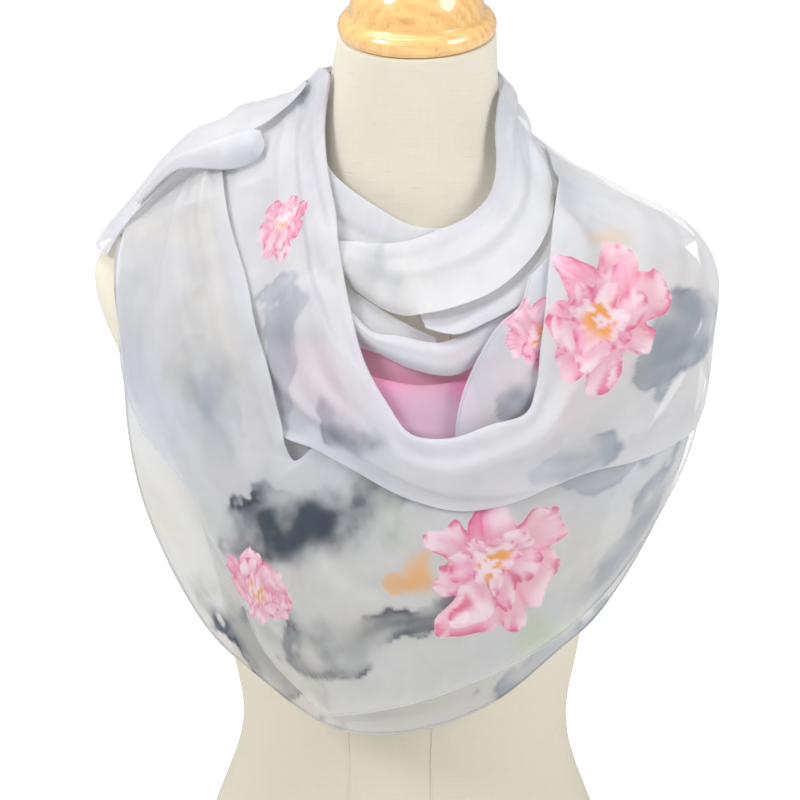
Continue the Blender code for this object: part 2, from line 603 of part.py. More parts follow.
# the cap: a turned profile, set on the leaning neck
bm = bmesh.new()
line = [bm.verts.new((r.radius, 0.0, r.height)) for r in CAP]
for a, b in zip(line, line[1:]):
    bm.edges.new((a, b))
cap = add("form_neck_cap", bm, WOOD)
screw = cap.modifiers.new("turn", "SCREW")
screw.axis = "Z"
screw.angle = math.radians(360)
screw.steps = screw.render_steps = 32
screw.use_merge_vertices = True
screw.merge_threshold = 0.0001
screw.use_normal_calculate = True
lean = Matrix.Rotation(math.radians(NECK_TILT), 4, "X")
cap.matrix_world = Matrix.Translation((FORM[-1].side, FORM[-1].centre, FORM_HEIGHT)) @ lean @ Matrix.Translation((0, 0, CAP_GAP))

# the scarf
drape = Surface(DRAPE)
colours = {"scarf_cowl_bed": PINK, "scarf_cowl_bed_fold": PINK, "scarf_under_layer": GREY, "scarf_shoulder_right": GREY}
grids = lay_all(CELL)
for make in MAKES:
    turn, drop, rise, along, over = (q[::2, ::2] if len(q) % 2 else np.concatenate([q[::2], q[-1:]])[:, ::2]
                                     for q in grids[make.name])
    p, n = drape.at(turn, drop)
    p = p + n*rise[..., None]
    if make.name == "scarf_shoulder_left":
        back = p[-2] - p[-1]
        p[-1] += back/np.linalg.norm(back, axis=1, keepdims=True)*SEAM
    if make.name == "scarf_neck_right":
        on = p[1] - p[0]
        p[0] += on/np.linalg.norm(on, axis=1, keepdims=True)*SEAM
    bm = bmesh.new()
    grid = [[bm.verts.new(q) for q in row] for row in p]
    for a, b in zip(grid, grid[1:]):
        for i in range(len(a) - 1):
            bm.faces.new((a[i], a[i+1], b[i+1], b[i]))
    out = n[len(n)//2, n.shape[1]//2]
    bm.faces.ensure_lookup_table()
    bm.normal_update()
    middle = bm.faces[len(bm.faces)//2]
    close = np.argmin(np.linalg.norm(p.reshape(-1, 3) - np.array(middle.calc_center_median()), axis=1))
    if np.dot(n.reshape(-1, 3)[close], np.array(middle.normal)) < 0:
        bmesh.ops.reverse_faces(bm, faces=bm.faces)
    obj = add(make.name, bm, colours.get(make.name, PALE))
    wall = obj.modifiers.new("wall", "SOLIDIFY")
    wall.thickness = WALL
    wall.offset = 0.0
    wall.use_even_offset = True
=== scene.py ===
"""Looks for the chiffon scarf on a dress form.

The cloth's stretches repeat the tables and rules of the construction at a finer step: thin shells with turned-under
fold edges, rolled hems and creases, laid one on another. The form gets a fine cover with seams and a turned,
varnished cap. All colours come from shader nodes; the print is a generic one of loose round blossoms and soft washes.
"""

import json
import math
from collections import namedtuple

import bmesh
import bpy
import numpy as np
from mathutils import Matrix, Vector

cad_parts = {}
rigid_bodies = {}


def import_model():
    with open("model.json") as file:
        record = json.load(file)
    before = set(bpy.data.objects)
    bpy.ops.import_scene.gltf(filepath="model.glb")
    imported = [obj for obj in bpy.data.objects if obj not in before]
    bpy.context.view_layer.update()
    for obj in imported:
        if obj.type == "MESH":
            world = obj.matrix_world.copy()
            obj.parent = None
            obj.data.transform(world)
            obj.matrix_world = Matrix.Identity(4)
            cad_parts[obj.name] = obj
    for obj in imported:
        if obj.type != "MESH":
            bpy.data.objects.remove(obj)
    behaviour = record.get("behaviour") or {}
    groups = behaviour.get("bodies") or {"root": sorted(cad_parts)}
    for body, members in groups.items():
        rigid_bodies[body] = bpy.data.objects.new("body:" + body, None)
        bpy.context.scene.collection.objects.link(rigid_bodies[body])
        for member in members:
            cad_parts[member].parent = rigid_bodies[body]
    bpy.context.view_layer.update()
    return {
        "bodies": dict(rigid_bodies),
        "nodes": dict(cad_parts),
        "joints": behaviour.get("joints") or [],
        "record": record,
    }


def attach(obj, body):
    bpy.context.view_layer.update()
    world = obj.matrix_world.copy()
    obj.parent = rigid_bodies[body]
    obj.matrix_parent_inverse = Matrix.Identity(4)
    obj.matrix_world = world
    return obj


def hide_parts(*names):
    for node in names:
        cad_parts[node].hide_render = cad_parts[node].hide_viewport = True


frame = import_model()

# ---------------------------------------------------------------------------------------------- camera
CAMERA = dict(azimuth=6.5, elevation=20.0, distance=1.5, target=(-0.003, 0.0, 0.4465), pixels=2280.0, frame=800.0)


def set_camera(azimuth, elevation, distance, target, pixels, frame):
    a, e = math.radians(azimuth), math.radians(elevation)
    back = Vector((math.sin(a)*math.cos(e), -math.cos(a)*math.cos(e), math.sin(e)))
    data = bpy.data.cameras.new("camera")
    data.sensor_fit = "HORIZONTAL"
    data.sensor_width = 36.0
    data.lens = pixels/frame*36.0
    data.clip_start, data.clip_end = 0.05, 100.0
    cam = bpy.data.objects.new("camera", data)
    bpy.context.scene.collection.objects.link(cam)
    right = back.cross(Vector((0, 0, -1))).normalized()*1.0
    right = (-back).cross(Vector((0, 0, 1))).normalized()
    up = right.cross(-back)
    turn = Matrix((right, up, back)).transposed().to_4x4()
    cam.matrix_world = Matrix.Translation(Vector(target) + back*distance) @ turn
    bpy.context.scene.camera = cam


set_camera(**CAMERA)

# ---------------------------------------------------------------------------------------------- driving dimensions
FORM_HEIGHT = 0.692          # underside to the top of the neck
NECK_TILT = 9.0              # degrees, the neck's top leans forward
CAP_RADIUS = 0.0487
CAP_GAP = 0.0003
WALL = 0.0010                # thickness of the cloth's wall
LAYER = 0.0032               # from one layer of cloth to the next, middle to middle
CELL = 0.016                 # length of a facet along a stretch
FORM_SIDES = 44              # facets round the torso

Section = namedtuple("Section", "name height half_width front back centre side squareness")

# the covered torso
FORM = [Section(*row) for row in (
    ("base",       0.000, 0.1620, 0.1060, 0.1120,  0.000,  0.000, 2.30),
    ("hip",        0.055, 0.1600, 0.1060, 0.1110,  0.000,  0.000, 2.30),
    ("high_hip",   0.120, 0.1400, 0.0990, 0.0980,  0.000,  0.000, 2.25),
    ("waist",      0.210, 0.1120, 0.0850, 0.0800,  0.000,  0.000, 2.20),
    ("midriff",    0.275, 0.1180, 0.0920, 0.0860,  0.000,  0.000, 2.20),
    ("under_bust", 0.330, 0.1270, 0.1030, 0.0940,  0.000,  0.000, 2.25),
    ("bust",       0.385, 0.1380, 0.1240, 0.0990,  0.000, -0.001, 2.35),
    ("upper_bust", 0.440, 0.1620, 0.1150, 0.1030,  0.000, -0.002, 2.35),
    ("chest",      0.490, 0.1870, 0.0980, 0.1040,  0.000, -0.004, 2.30),
    ("plate",      0.528, 0.1980, 0.0800, 0.0970,  0.000, -0.005, 2.20),
    ("shoulder",   0.551, 0.1870, 0.0660, 0.0870,  0.000, -0.004, 2.15),
    ("slope",      0.572, 0.1410, 0.0560, 0.0760,  0.000, -0.002, 2.10),
    ("neck_base",  0.593, 0.0880, 0.0520, 0.0640,  0.001,  0.001, 2.00),
    ("neck_low",   0.626, 0.0612, 0.0500, 0.0550,  0.000,  0.003, 2.00),
    ("neck_mid",   0.658, 0.0530, 0.0490, 0.0490, -0.005,  0.006, 2.00),
    ("neck_top",   FORM_HEIGHT, 0.0488, 0.0480, 0.0480, -0.012,  0.009, 2.00),
)]

# the surface that the innermost cloth lies or hangs on: it touches neck and shoulders and falls free below them
DRAPE = [Section(*row) for row in (
    ("neck_top",   FORM_HEIGHT, 0.0515, 0.0505, 0.0505, -0.012,  0.009, 2.00),
    ("neck_mid",   0.660, 0.0558, 0.0520, 0.0530, -0.005,  0.006, 2.00),
    ("neck_low",   0.629, 0.0640, 0.0545, 0.0610,  0.000,  0.003, 2.00),
    ("neck_base",  0.599, 0.0920, 0.0590, 0.0720,  0.001,  0.001, 2.00),
    ("slope",      0.577, 0.1460, 0.0660, 0.0820,  0.000, -0.002, 2.10),
    ("shoulder",   0.556, 0.1900, 0.0770, 0.0930,  0.000, -0.004, 2.20),
    ("plate",      0.530, 0.2010, 0.0940, 0.1060,  0.000, -0.005, 2.25),
    ("chest",      0.495, 0.1970, 0.1110, 0.1130,  0.000, -0.004, 2.25),
    ("upper_bust", 0.440, 0.1890, 0.1290, 0.1160,  0.000, -0.002, 2.20),
    ("bust",       0.385, 0.1740, 0.1370, 0.1160,  0.000, -0.001, 2.15),
    ("under_bust", 0.330, 0.1560, 0.1350, 0.1130,  0.000,  0.000, 2.10),
    ("midriff",    0.275, 0.1380, 0.1290, 0.1090,  0.000,  0.000, 2.10),
    ("waist",      0.210, 0.1250, 0.1190, 0.1040,  0.000,  0.000, 2.10),
    ("below",      0.150, 0.1220, 0.1130, 0.1010,  0.000,  0.000, 2.10),
)]

# where the cloth stands off that surface in a pouf: centre, height (mm), and how far it spreads (degrees, mm)
Pouf = namedtuple("Pouf", "turn drop height spread_turn spread_drop")
POUFS = [Pouf(*row) for row in (
    ( -97, 110, 32, 34, 50),
    ( -98, 166, 18.5, 26, 34),
    ( 101, 104,  9, 30, 50),
    (  74, 170,  5, 22, 45),
)]

# the neck cap's profile from its top to its underside, and the knob on it
Ring = namedtuple("Ring", "radius height")
CAP = [Ring(*row) for row in (
    (0.0000, 0.0800), (0.0070, 0.0792), (0.0125, 0.0755), (0.0150, 0.0700), (0.0135, 0.0640), (0.0095, 0.0590),
    (0.0085, 0.0545), (0.0110, 0.0505), (0.0190, 0.0470), (0.0285, 0.0415), (0.0362, 0.0330), (0.0405, 0.0230),
    (0.0416, 0.0150), (0.0428, 0.0128), (0.0464, 0.0112), (CAP_RADIUS, 0.0075), (CAP_RADIUS, 0.0035), (0.0472, 0.0006),
    (0.0460, 0.0000), (0.0000, 0.0000))]

# ---------------------------------------------------------------------------------------------- the scarf's stretches
# A stretch is a strip. A row is a station along it: where its inner edge and its outer edge are there.
Station = namedtuple("Station", "in_turn in_drop in_rise out_turn out_drop out_rise")


def stations(*rows):
    return [Station(*row) for row in rows]


# the layer behind, whose hem shows all round below the others
UNDER = stations(
    (-64, 172,  1,  -80, 206,  0),
    (-58, 200,  1,  -72, 232,  0),
    (-47, 224,  1,  -68.4, 262, 0),
    (-37, 228,  2,  -67.6, 318, 1),
    (-28, 232,  2,  -68, 382,  1),
    (-18, 238,  2,  -56, 412,  1),
    ( -6, 250,  2,  -36, 421,  1),
    (  6, 268,  2,  -14, 441,  1),
    ( 18, 280,  2,    8, 439,  1),
    ( 30, 288,  2,   30, 424,  1),
    ( 44, 286,  2,   48, 402,  0),
    ( 58, 280,  1,   60, 394,  0),
    ( 72, 272,  0,   76, 366,  0),
    ( 84, 262,  0,   92, 322,  0))
# the front layer: a panel from the left shoulder, then the wide part below the cowl, with one corner on its hem
FRONT = stations(
    (-84,   118,  6,  -92,   150,  1),
    (-74,   128,  8,  -86,   176,  0),
    (-65,   138, 11,  -80,   198,  0),
    (-56,   150, 12,  -74.6, 216,  1),
    (-48,   164, 12,  -71,   232,  3),
    (-41,   180, 12,  -69,   250,  4),
    (-35,   198, 12,  -67,   272,  5),
    (-30,   217, 11,  -61,   288,  5),
    (-26,   240, 10,  -50,   298,  5),
    (-22,   262,  8,  -43.5, 322,  5),
    (-14,   244,  6,  -36,   356,  5),
    ( -5,   242,  6,  -31,   394,  5),
    (  2,   244,  6,  -14.5, 430,  5),
    ( 12,   254,  6,    8,   415,  5),
    ( 27,   258,  6,   27,   400,  5),
    ( 42,   256,  6,   42,   388,  4),
    ( 57,   252,  5,   55,   374,  3),
    ( 71,   250,  3,   72,   348,  3),
    ( 81,   246,  2,   90,   320,  3))
FRONT_CORNER = 12
FRONT_LEFT = 9               # stations before this one lie on the cowl, those after it under it
# the cowl: from behind the neck on the left, down, round the front and up to the right shoulder
COWL = stations(
    (-158,    32,  4, -156,    80,  4),
    (-128,    34,  3, -132,    92,  4),
    (-104,    33,  3, -110,   100,  4),
    ( -84,    26,  2,  -92,   108,  4),
    ( -67,    27,  2,  -80,   118,  5),
    ( -59,    45,  3,  -74,   130,  5),
    ( -47,    70,  6,  -66,   146,  5),
    ( -37,    92, 10,  -57,   164,  5),
    ( -28.5, 111, 13,  -49,   180,  6),
    ( -22.5, 128, 15,  -42,   198,  7),
    ( -15.5, 150, 17,  -35,   222,  9),
    (  -9,   174, 19,  -26.5, 246, 11),
    (  -3,   200, 22,  -16,   252, 14),
    (   3.8, 222, 23,   -5,   262, 17),
    (  10,   239, 25,    7,   275, 18),
    (  20,   242, 26,   20,   284, 18),
    (  30,   236, 26,   32,   283, 17),
    (  38.5, 232, 24,   42,   277, 14),
    (  42.5, 218, 20,   51,   276, 11),
    (  46,   197, 17,   60,   283,  8),
    (  51,   174, 14,   70,   294,  6),
    (  56.5, 152, 12,   80,   306,  5),
    (  62,   134, 10,   88,   300,  4),
    (  70,   118,  8,   94,   280,  4),
    (  82,   102,  5,   98,   252,  3),
    (  94,    88,  3,  100,   220,  4))
# over the left shoulder, from its front edge to the nape
SHOULDER_LEFT = stations(
    ( -75.5, 36, 8,  -79.5, 221,  0),
    ( -85,  38,  7,  -84, 228, -2),
    ( -98,  40,  6,  -94, 235, -2),
    (-112,  40,  6, -112, 230,  1),
    (-127,  36,  8, -131, 204,  5),
    (-144,  32, 10, -146, 178,  8),
    (-160,  28, 11, -160, 152,  9),
    (-174,  23, 11, -174, 130, 10),
    (-187,  20, 11, -189, 112, 10))
# the same end goes on round the nape to the right side of the neck and down to the front
NECK_RIGHT = stations(
    (-187,  20, 11, -189, 112, 10),
    (-207,  22,  8, -209,  88,  9),
    (-230,  28,  4, -232,  76,  7),
    (-252,  33,  1, -256,  70,  6),
    (-272,  34,  0, -276,  76,  8),
    (-287,  37,  2, -281,  90, 11),
    (-296,  52,  4, -286, 104, 13),
    (-303,  78,  6, -292, 118, 14),
    (-311,  97,  7, -299, 134, 15),
    (-322, 109,  8, -308, 148, 16),
    (-336, 116,  8, -322, 163, 16),
    (-349, 122,  8, -339, 170, 15),
    (-364, 125,  9, -352, 170, 14),
    (-376, 125,  9, -366, 160, 12),
    (-390, 127,  9, -382, 142, 10))
# over the right shoulder, from under the cowl to the nape
SHOULDER_RIGHT = stations(
    (  72,  98,  1,   76, 190,  1),
    (  88,  74,  1,   92, 204,  1),
    ( 104,  60,  2,  108, 208,  2),
    ( 122,  50,  4,  124, 196,  4),
    ( 142,  40,  6,  143, 170,  6),
    ( 162,  32,  7,  163, 142,  6),
    ( 184,  26,  6,  186, 118,  6),
    ( 206,  26,  6,  208, 100,  6))
# the other end, which comes forward on the left side of the neck
NECK_LEFT = stations(
    (-160,  24,  1, -160,  66,  2),
    (-128,  26,  1, -130,  66,  2),
    ( -98,  30,  1, -100,  72,  2),
    ( -72,  44,  1,  -78,  92,  2),
    ( -56,  62,  1,  -58, 112,  3),
    ( -44,  80,  2,  -42, 126,  4),
    ( -28,  91,  4,  -28, 132,  4),
    (  -8, 102,  4,  -12, 136,  4),
    (  10, 111,  4,    8, 138,  4),
    (  28, 114,  4,   26, 140,  4))
# inside the cowl, from the neck outwards
FOLD_INNER = stations(
    (  12, 150,  8,   17, 178, 10),
    (  24, 148,  9,   26, 183, 11),
    (  34, 142,  9,   35, 178, 11),
    (  44, 132,  8,   44, 172, 10),
    (  54, 118,  7,   54, 164,  9),
    (  66, 104,  6,   63, 142,  7))
FOLD_PLEAT = stations(
    ( -40, 148,  5,  -42, 178,  5),
    ( -24, 148,  6,  -26, 180,  6),
    (  -8, 159,  7,  -10, 188,  7),
    (   6, 171,  8,    5, 194,  8),
    (  20, 183,  7,   19, 200,  7))
ROLL = stations(
    ( -34,   166,  6,  -34, 186,  6),
    ( -20,   162,  8,  -20, 184,  8),
    ( -10,   170, 10,   -8, 184, 10),
    (  -1,   181, 14,    2, 193, 13),
    (   8,   183, 17,   12, 201, 16),
    (  21.5, 187, 18,   23, 205, 16),
    (  33,   178, 15,   31, 198, 14),
    (  44,   168, 11,   43, 183, 11),
    (  53,   156,  8,   53, 174,  8),
    (  62,   138,  6,   64, 154,  6))
TUCKED_END = stations(
    (  50,   158, 15,   64, 142,  9),
    (  45,   173, 17,   62, 165,  9),
    (  38.5, 181, 19,   58, 184,  9),
    (  33,   192, 20,   54, 204, 10),
    (  28,   206, 20,   50, 222, 10),
    (  24.5, 220, 19,   47, 236, 10),
    (  22.4, 234, 17,   43, 243,  9),
    (  21.8, 245, 14,   40, 250,  8))
BED = stations(
    ( -34, 196,  2,  -36, 214,  2),
    ( -18, 186,  3,  -20, 232,  3),
    (  -2, 188,  3,   -4, 250,  3),
    (  14, 192,  3,   14, 258,  3),
    (  30, 184,  3,   32, 258,  3),
    (  46, 168,  2,   50, 246,  2),
    (  60, 156,  2,   64, 232,  2))
BED_FOLD = stations(
    ( -28, 214,  4,  -30, 226,  4),
    ( -14, 202,  7,  -16, 236,  6),
    (   0, 207,  9,   -2, 246,  8),
    (  14, 211, 10,   14, 252,  8),
    (  28, 208,  8,   30, 250,  7))
# a short end of cloth rolled up and tucked on the left shoulder
TUCK = stations(
    ( -74,    91,  7,  -71,   93,  7),
    ( -76.2,  97, 10,  -68.8, 101, 11),
    ( -77,   107, 11,  -68.9, 112, 12),
    ( -77.8, 120, 11,  -70.6, 125, 12),
    ( -78.6, 134,  9,  -74,   139, 10),
    ( -79.6, 149,  6,  -77.2, 154,  7),
    ( -80,   166,  4,  -78.4, 169,  4),
    ( -80.2, 182,  2,  -79.2, 184,  2))

# How a stretch is made: the stretches that it lies on, how far its middle bellies out (mm), facets across, and
# how far each edge is rolled under (mm, inner and outer).
Make = namedtuple("Make", "name rows on belly across roll_in roll_out corner")
MAKES = [Make(*row) for row in (
    ("scarf_under_layer",    UNDER,          (),                        0.0, 6, 0, 0, None),
    ("scarf_cowl_bed",       BED,            ("scarf_under_layer",),    0.0, 4, 0, 0, None),
    ("scarf_cowl_bed_fold",  BED_FOLD,       ("*",),                    1.5, 3, 3, 0, None),
    ("scarf_neck_left",      NECK_LEFT,      (),                        1.0, 3, 2, 0, None),
    ("scarf_inner_pleat",    FOLD_PLEAT,     ("*",),                    0.5, 2, 0, 0, None),
    ("scarf_inner_roll",     ROLL,           ("*",),                    5.0, 4, 4, 4, None),
    ("scarf_inner_fold",     FOLD_INNER,     ("*",),                    1.5, 3, 0, 3, None),
    ("scarf_shoulder_right", SHOULDER_RIGHT, ("*",),                    1.0, 6, 0, 0, None),
    ("scarf_neck_right",     NECK_RIGHT,     ("*",),                    4.0, 4, 2, 4, None),
    ("scarf_tucked_end",     TUCKED_END,     ("*",),                    1.0, 3, 0, 0, None),
    ("scarf_front_layer",    FRONT,          ("scarf_under_layer", "scarf_cowl_bed", "scarf_cowl_bed_fold"), 1.0, 6, 0, 0, FRONT_CORNER),
    ("scarf_cowl",           COWL,           ("*",),                    0.0, 6, 5, 5, None),
    ("scarf_shoulder_left",  SHOULDER_LEFT,  ("*",),                    4.0, 6, 2, 0, None),
    ("scarf_shoulder_tuck",  TUCK,           ("*",),                    8.0, 4, 4, 4, None),
)]
ROUND_WIDTH = 0.018          # a stretch narrower than this bellies out less
SEAM = 0.00015               # each side of the join between the left shoulder's stretch and the neck's right one

# Soft folds that run along a stretch: from (along, across) to (along, across), in stations and in parts of the width,
# how high (mm, minus for a trough) and how wide (mm) each is.
Fold = namedtuple("Fold", "stretch from_along from_across to_along to_across height width")
FOLDS = [Fold(*row) for row in (
    ("scarf_cowl",           14.0, 0.45, 19.0, 0.40,  3.0, 30),
    ("scarf_cowl",           17.5, 0.62, 22.0, 0.50, -3.0, 20),
    ("scarf_front_layer",     2.0, 0.25,  8.0, 0.35, -3.0, 22),
    ("scarf_front_layer",     9.0, 0.10, 16.0, 0.40,  3.0, 26),
    ("scarf_shoulder_left",   0.5, 0.62,  7.0, 0.60, -1.5, 20),
    ("scarf_shoulder_right",  1.0, 0.35,  7.0, 0.30, -3.5, 14),
    ("scarf_shoulder_right",  1.5, 0.70,  7.0, 0.62, -3.0, 16),
    ("scarf_neck_right",      1.0, 0.55,  8.0, 0.50, -3.0, 12),
)]
# Folded edges that show as a step on a stretch: points of the line along it, how far the side beyond the line stands
# out (mm, minus for in), and over how many millimetres.
Ledge = namedtuple("Ledge", "stretch line along across height width")
LEDGES = [Ledge(*row) for row in (
    ("scarf_cowl",        "outer_fold",  2.5, 0.30,  0.0, 5),
    ("scarf_cowl",        "outer_fold",  4.0, 0.31,  4.0, 5),
    ("scarf_cowl",        "outer_fold",  9.0, 0.32,  5.5, 5),
    ("scarf_cowl",        "outer_fold", 10.0, 0.25,  5.5, 5),
    ("scarf_cowl",        "outer_fold", 11.0, 0.20,  4.5, 5),
    ("scarf_cowl",        "outer_fold", 12.5, 0.04,  0.0, 5),
    ("scarf_cowl",        "belly",       9.0, 0.90,  0.0, 5),
    ("scarf_cowl",        "belly",      10.0, 0.86, -3.5, 5),
    ("scarf_cowl",        "belly",      11.0, 0.76, -5.0, 5),
    ("scarf_cowl",        "belly",      13.0, 0.81, -5.5, 5),
    ("scarf_cowl",        "belly",      14.0, 0.75, -5.5, 5),
    ("scarf_cowl",        "belly",      15.0, 0.77, -5.5, 5),
    ("scarf_cowl",        "belly",      16.0, 0.88, -4.0, 5),
    ("scarf_cowl",        "belly",      17.0, 0.98,  0.0, 5),
    ("scarf_front_layer", "side_fold",   0.0, 0.40,  0.0, 5),
    ("scarf_front_layer", "side_fold",   1.0, 0.43, -3.0, 5),
    ("scarf_front_layer", "side_fold",   2.0, 0.50, -4.5, 5),
    ("scarf_front_layer", "side_fold",   3.0, 0.58, -5.0, 5),
    ("scarf_front_layer", "side_fold",   5.0, 0.70, -4.5, 5),
    ("scarf_front_layer", "side_fold",   8.0, 0.80,  0.0, 5),
)]


# ---------------------------------------------------------------------------------------------- curves and surfaces
def through(rows, at, corner=None):
    """values at the places `at` (in rows) on a smooth line through the rows, with a corner kept at one row"""
    p = np.asarray(rows, float)
    n = len(p)
    i = np.clip(np.floor(at).astype(int), 0, n - 2)
    t = (np.asarray(at, float) - i)[:, None]
    step = np.diff(p, axis=0)
    left, right = np.empty_like(p), np.empty_like(p)
    left[1:-1] = right[1:-1] = (p[2:] - p[:-2]) / 2
    left[0] = right[0] = step[0]
    left[-1] = right[-1] = step[-1]
    if corner is not None:
        left[corner], right[corner] = step[corner - 1], step[corner]
    a, b, ma, mb = p[i], p[i + 1], right[i], left[i + 1]
    return ((2*t**3 - 3*t**2 + 1)*a + (t**3 - 2*t**2 + t)*ma + (3*t**2 - 2*t**3)*b + (t**3 - t**2)*mb)


def ring(section, turn):
    """points of a section at the turns given (radians)"""
    s, k = np.sin(turn), np.cos(turn)
    depth = np.where(k > 0, section.front, section.back)
    n = section.squareness
    r = (np.abs(s / section.half_width)**n + np.abs(k / depth)**n)**(-1.0 / n)
    return np.stack([section.side + r*s, section.centre - r*k, np.full_like(r, section.height)], -1)


def natural_spline(t, y, x):
    """the natural cubic spline through y at t, read at x"""
    k, h = len(t), np.diff(t)
    a, b = np.zeros((k, k)), np.zeros_like(y)
    a[0, 0] = a[-1, -1] = 1
    for i in range(1, k - 1):
        a[i, i-1:i+2] = h[i-1], 2*(h[i-1] + h[i]), h[i]
        b[i] = 6*((y[i+1] - y[i])/h[i] - (y[i] - y[i-1])/h[i-1])
    m = np.linalg.solve(a, b)
    i = np.clip(np.searchsorted(t, x, side="right") - 1, 0, k - 2)
    h = h[i][:, None]
    p, q = (t[i+1] - x)[:, None]/h, (x - t[i])[:, None]/h
    return p*y[i] + q*y[i+1] + ((p**3 - p)*m[i] + (q**3 - q)*m[i+1])*h*h/6


class Surface:
    """a stack of sections as one surface, read by turn (degrees) and drop (metres)"""

    def __init__(self, sections, fine=500, step=0.002):
        self.turn = np.radians(np.arange(-180, 180.25, 0.5))
        stack = np.stack([ring(s, self.turn) for s in sections], 1)
        lines = []
        for p in stack:
            t = np.concatenate([[0], np.cumsum(np.sqrt(np.linalg.norm(np.diff(p, axis=0), axis=1)))])
            lines.append(natural_spline(t, p, np.linspace(0, t[-1], fine)))
        lines = np.array(lines)
        run = np.linalg.norm(np.diff(lines, axis=1), axis=2).cumsum(1)
        run = np.concatenate([np.zeros((len(lines), 1)), run], 1)
        self.step = step
        self.drop = np.arange(0, run[:, -1].min(), step)
        self.p = np.array([[np.interp(self.drop, r, q[:, k]) for k in range(3)] for r, q in zip(run, lines)])
        self.p = self.p.transpose(0, 2, 1)
        self.p = self.p + self.normals()*self.pouf()[..., None]
        self.n = self.normals()

    def normals(self):
        round_it = np.gradient(self.p, axis=0)
        round_it[0] = round_it[-1] = (self.p[1] - self.p[-2])/2
        n = np.cross(np.gradient(self.p, axis=1), round_it)
        return n / np.linalg.norm(n, axis=2, keepdims=True)

    def pouf(self):
        """how far the cloth stands off here, in metres"""
        turn, drop = np.degrees(self.turn)[:, None], self.drop[None, :]*1000
        high = sum(f.height*np.exp(-(np.mod(turn - f.turn + 180, 360) - 180)**2/f.spread_turn**2
                                   - (drop - f.drop)**2/f.spread_drop**2) for f in POUFS)
        return high/1000*np.clip(drop/30, 0, 1)**2

    def at(self, turn, drop):
        x = np.mod(np.asarray(turn, float) + 180, 360) * (len(self.turn) - 1)/360
        y = np.clip(np.asarray(drop, float)/self.step, 0, len(self.drop) - 1.001)
        i, j = np.clip(np.floor(x).astype(int), 0, len(self.turn) - 2), np.floor(y).astype(int)
        u, v = (x - i)[..., None], (y - j)[..., None]
        p, n = ((t[i, j]*(1-u) + t[i+1, j]*u)*(1-v) + (t[i, j+1]*(1-u) + t[i+1, j+1]*u)*v for t in (self.p, self.n))
        return p, n/np.linalg.norm(n, axis=-1, keepdims=True)


# ---------------------------------------------------------------------------------------------- fine cloth
SHELL = 0.00045              # thickness of the fine shell
GAP = 0.0013                 # from one layer to the next, middle to middle
STEP = 0.0019                # size of a cell
MAP_TURN, MAP_DROP = 1.0, 0.002

# How an edge is finished: folded (the cloth turns under by `under` mm round a bend of `bend` mm) between two stations.
Edge = namedtuple("Edge", "stretch side bend under")
EDGES = {(e.stretch, e.side): e for e in (Edge(*row) for row in (
    ("scarf_cowl",            "in",  0.7, 24),
    ("scarf_cowl",            "out", 0.5, 12),
    ("scarf_front_layer",     "in",  0.5, 10),
    ("scarf_neck_left",       "in",  0.5, 14),
    ("scarf_neck_right",      "in",  0.6, 12),
    ("scarf_neck_right",      "out", 0.6, 12),
    ("scarf_inner_fold",      "out", 0.5, 10),
    ("scarf_inner_pleat",     "in",  0.5, 10),
    ("scarf_inner_roll",      "in",  0.6, 10),
    ("scarf_inner_roll",      "out", 0.6, 10),
    ("scarf_cowl_bed_fold",   "in",  0.5, 10),
    ("scarf_shoulder_left",   "in",  0.5, 12),
    ("scarf_shoulder_tuck",   "in",  0.7, 8),
    ("scarf_shoulder_tuck",   "out", 0.7, 8),
))}

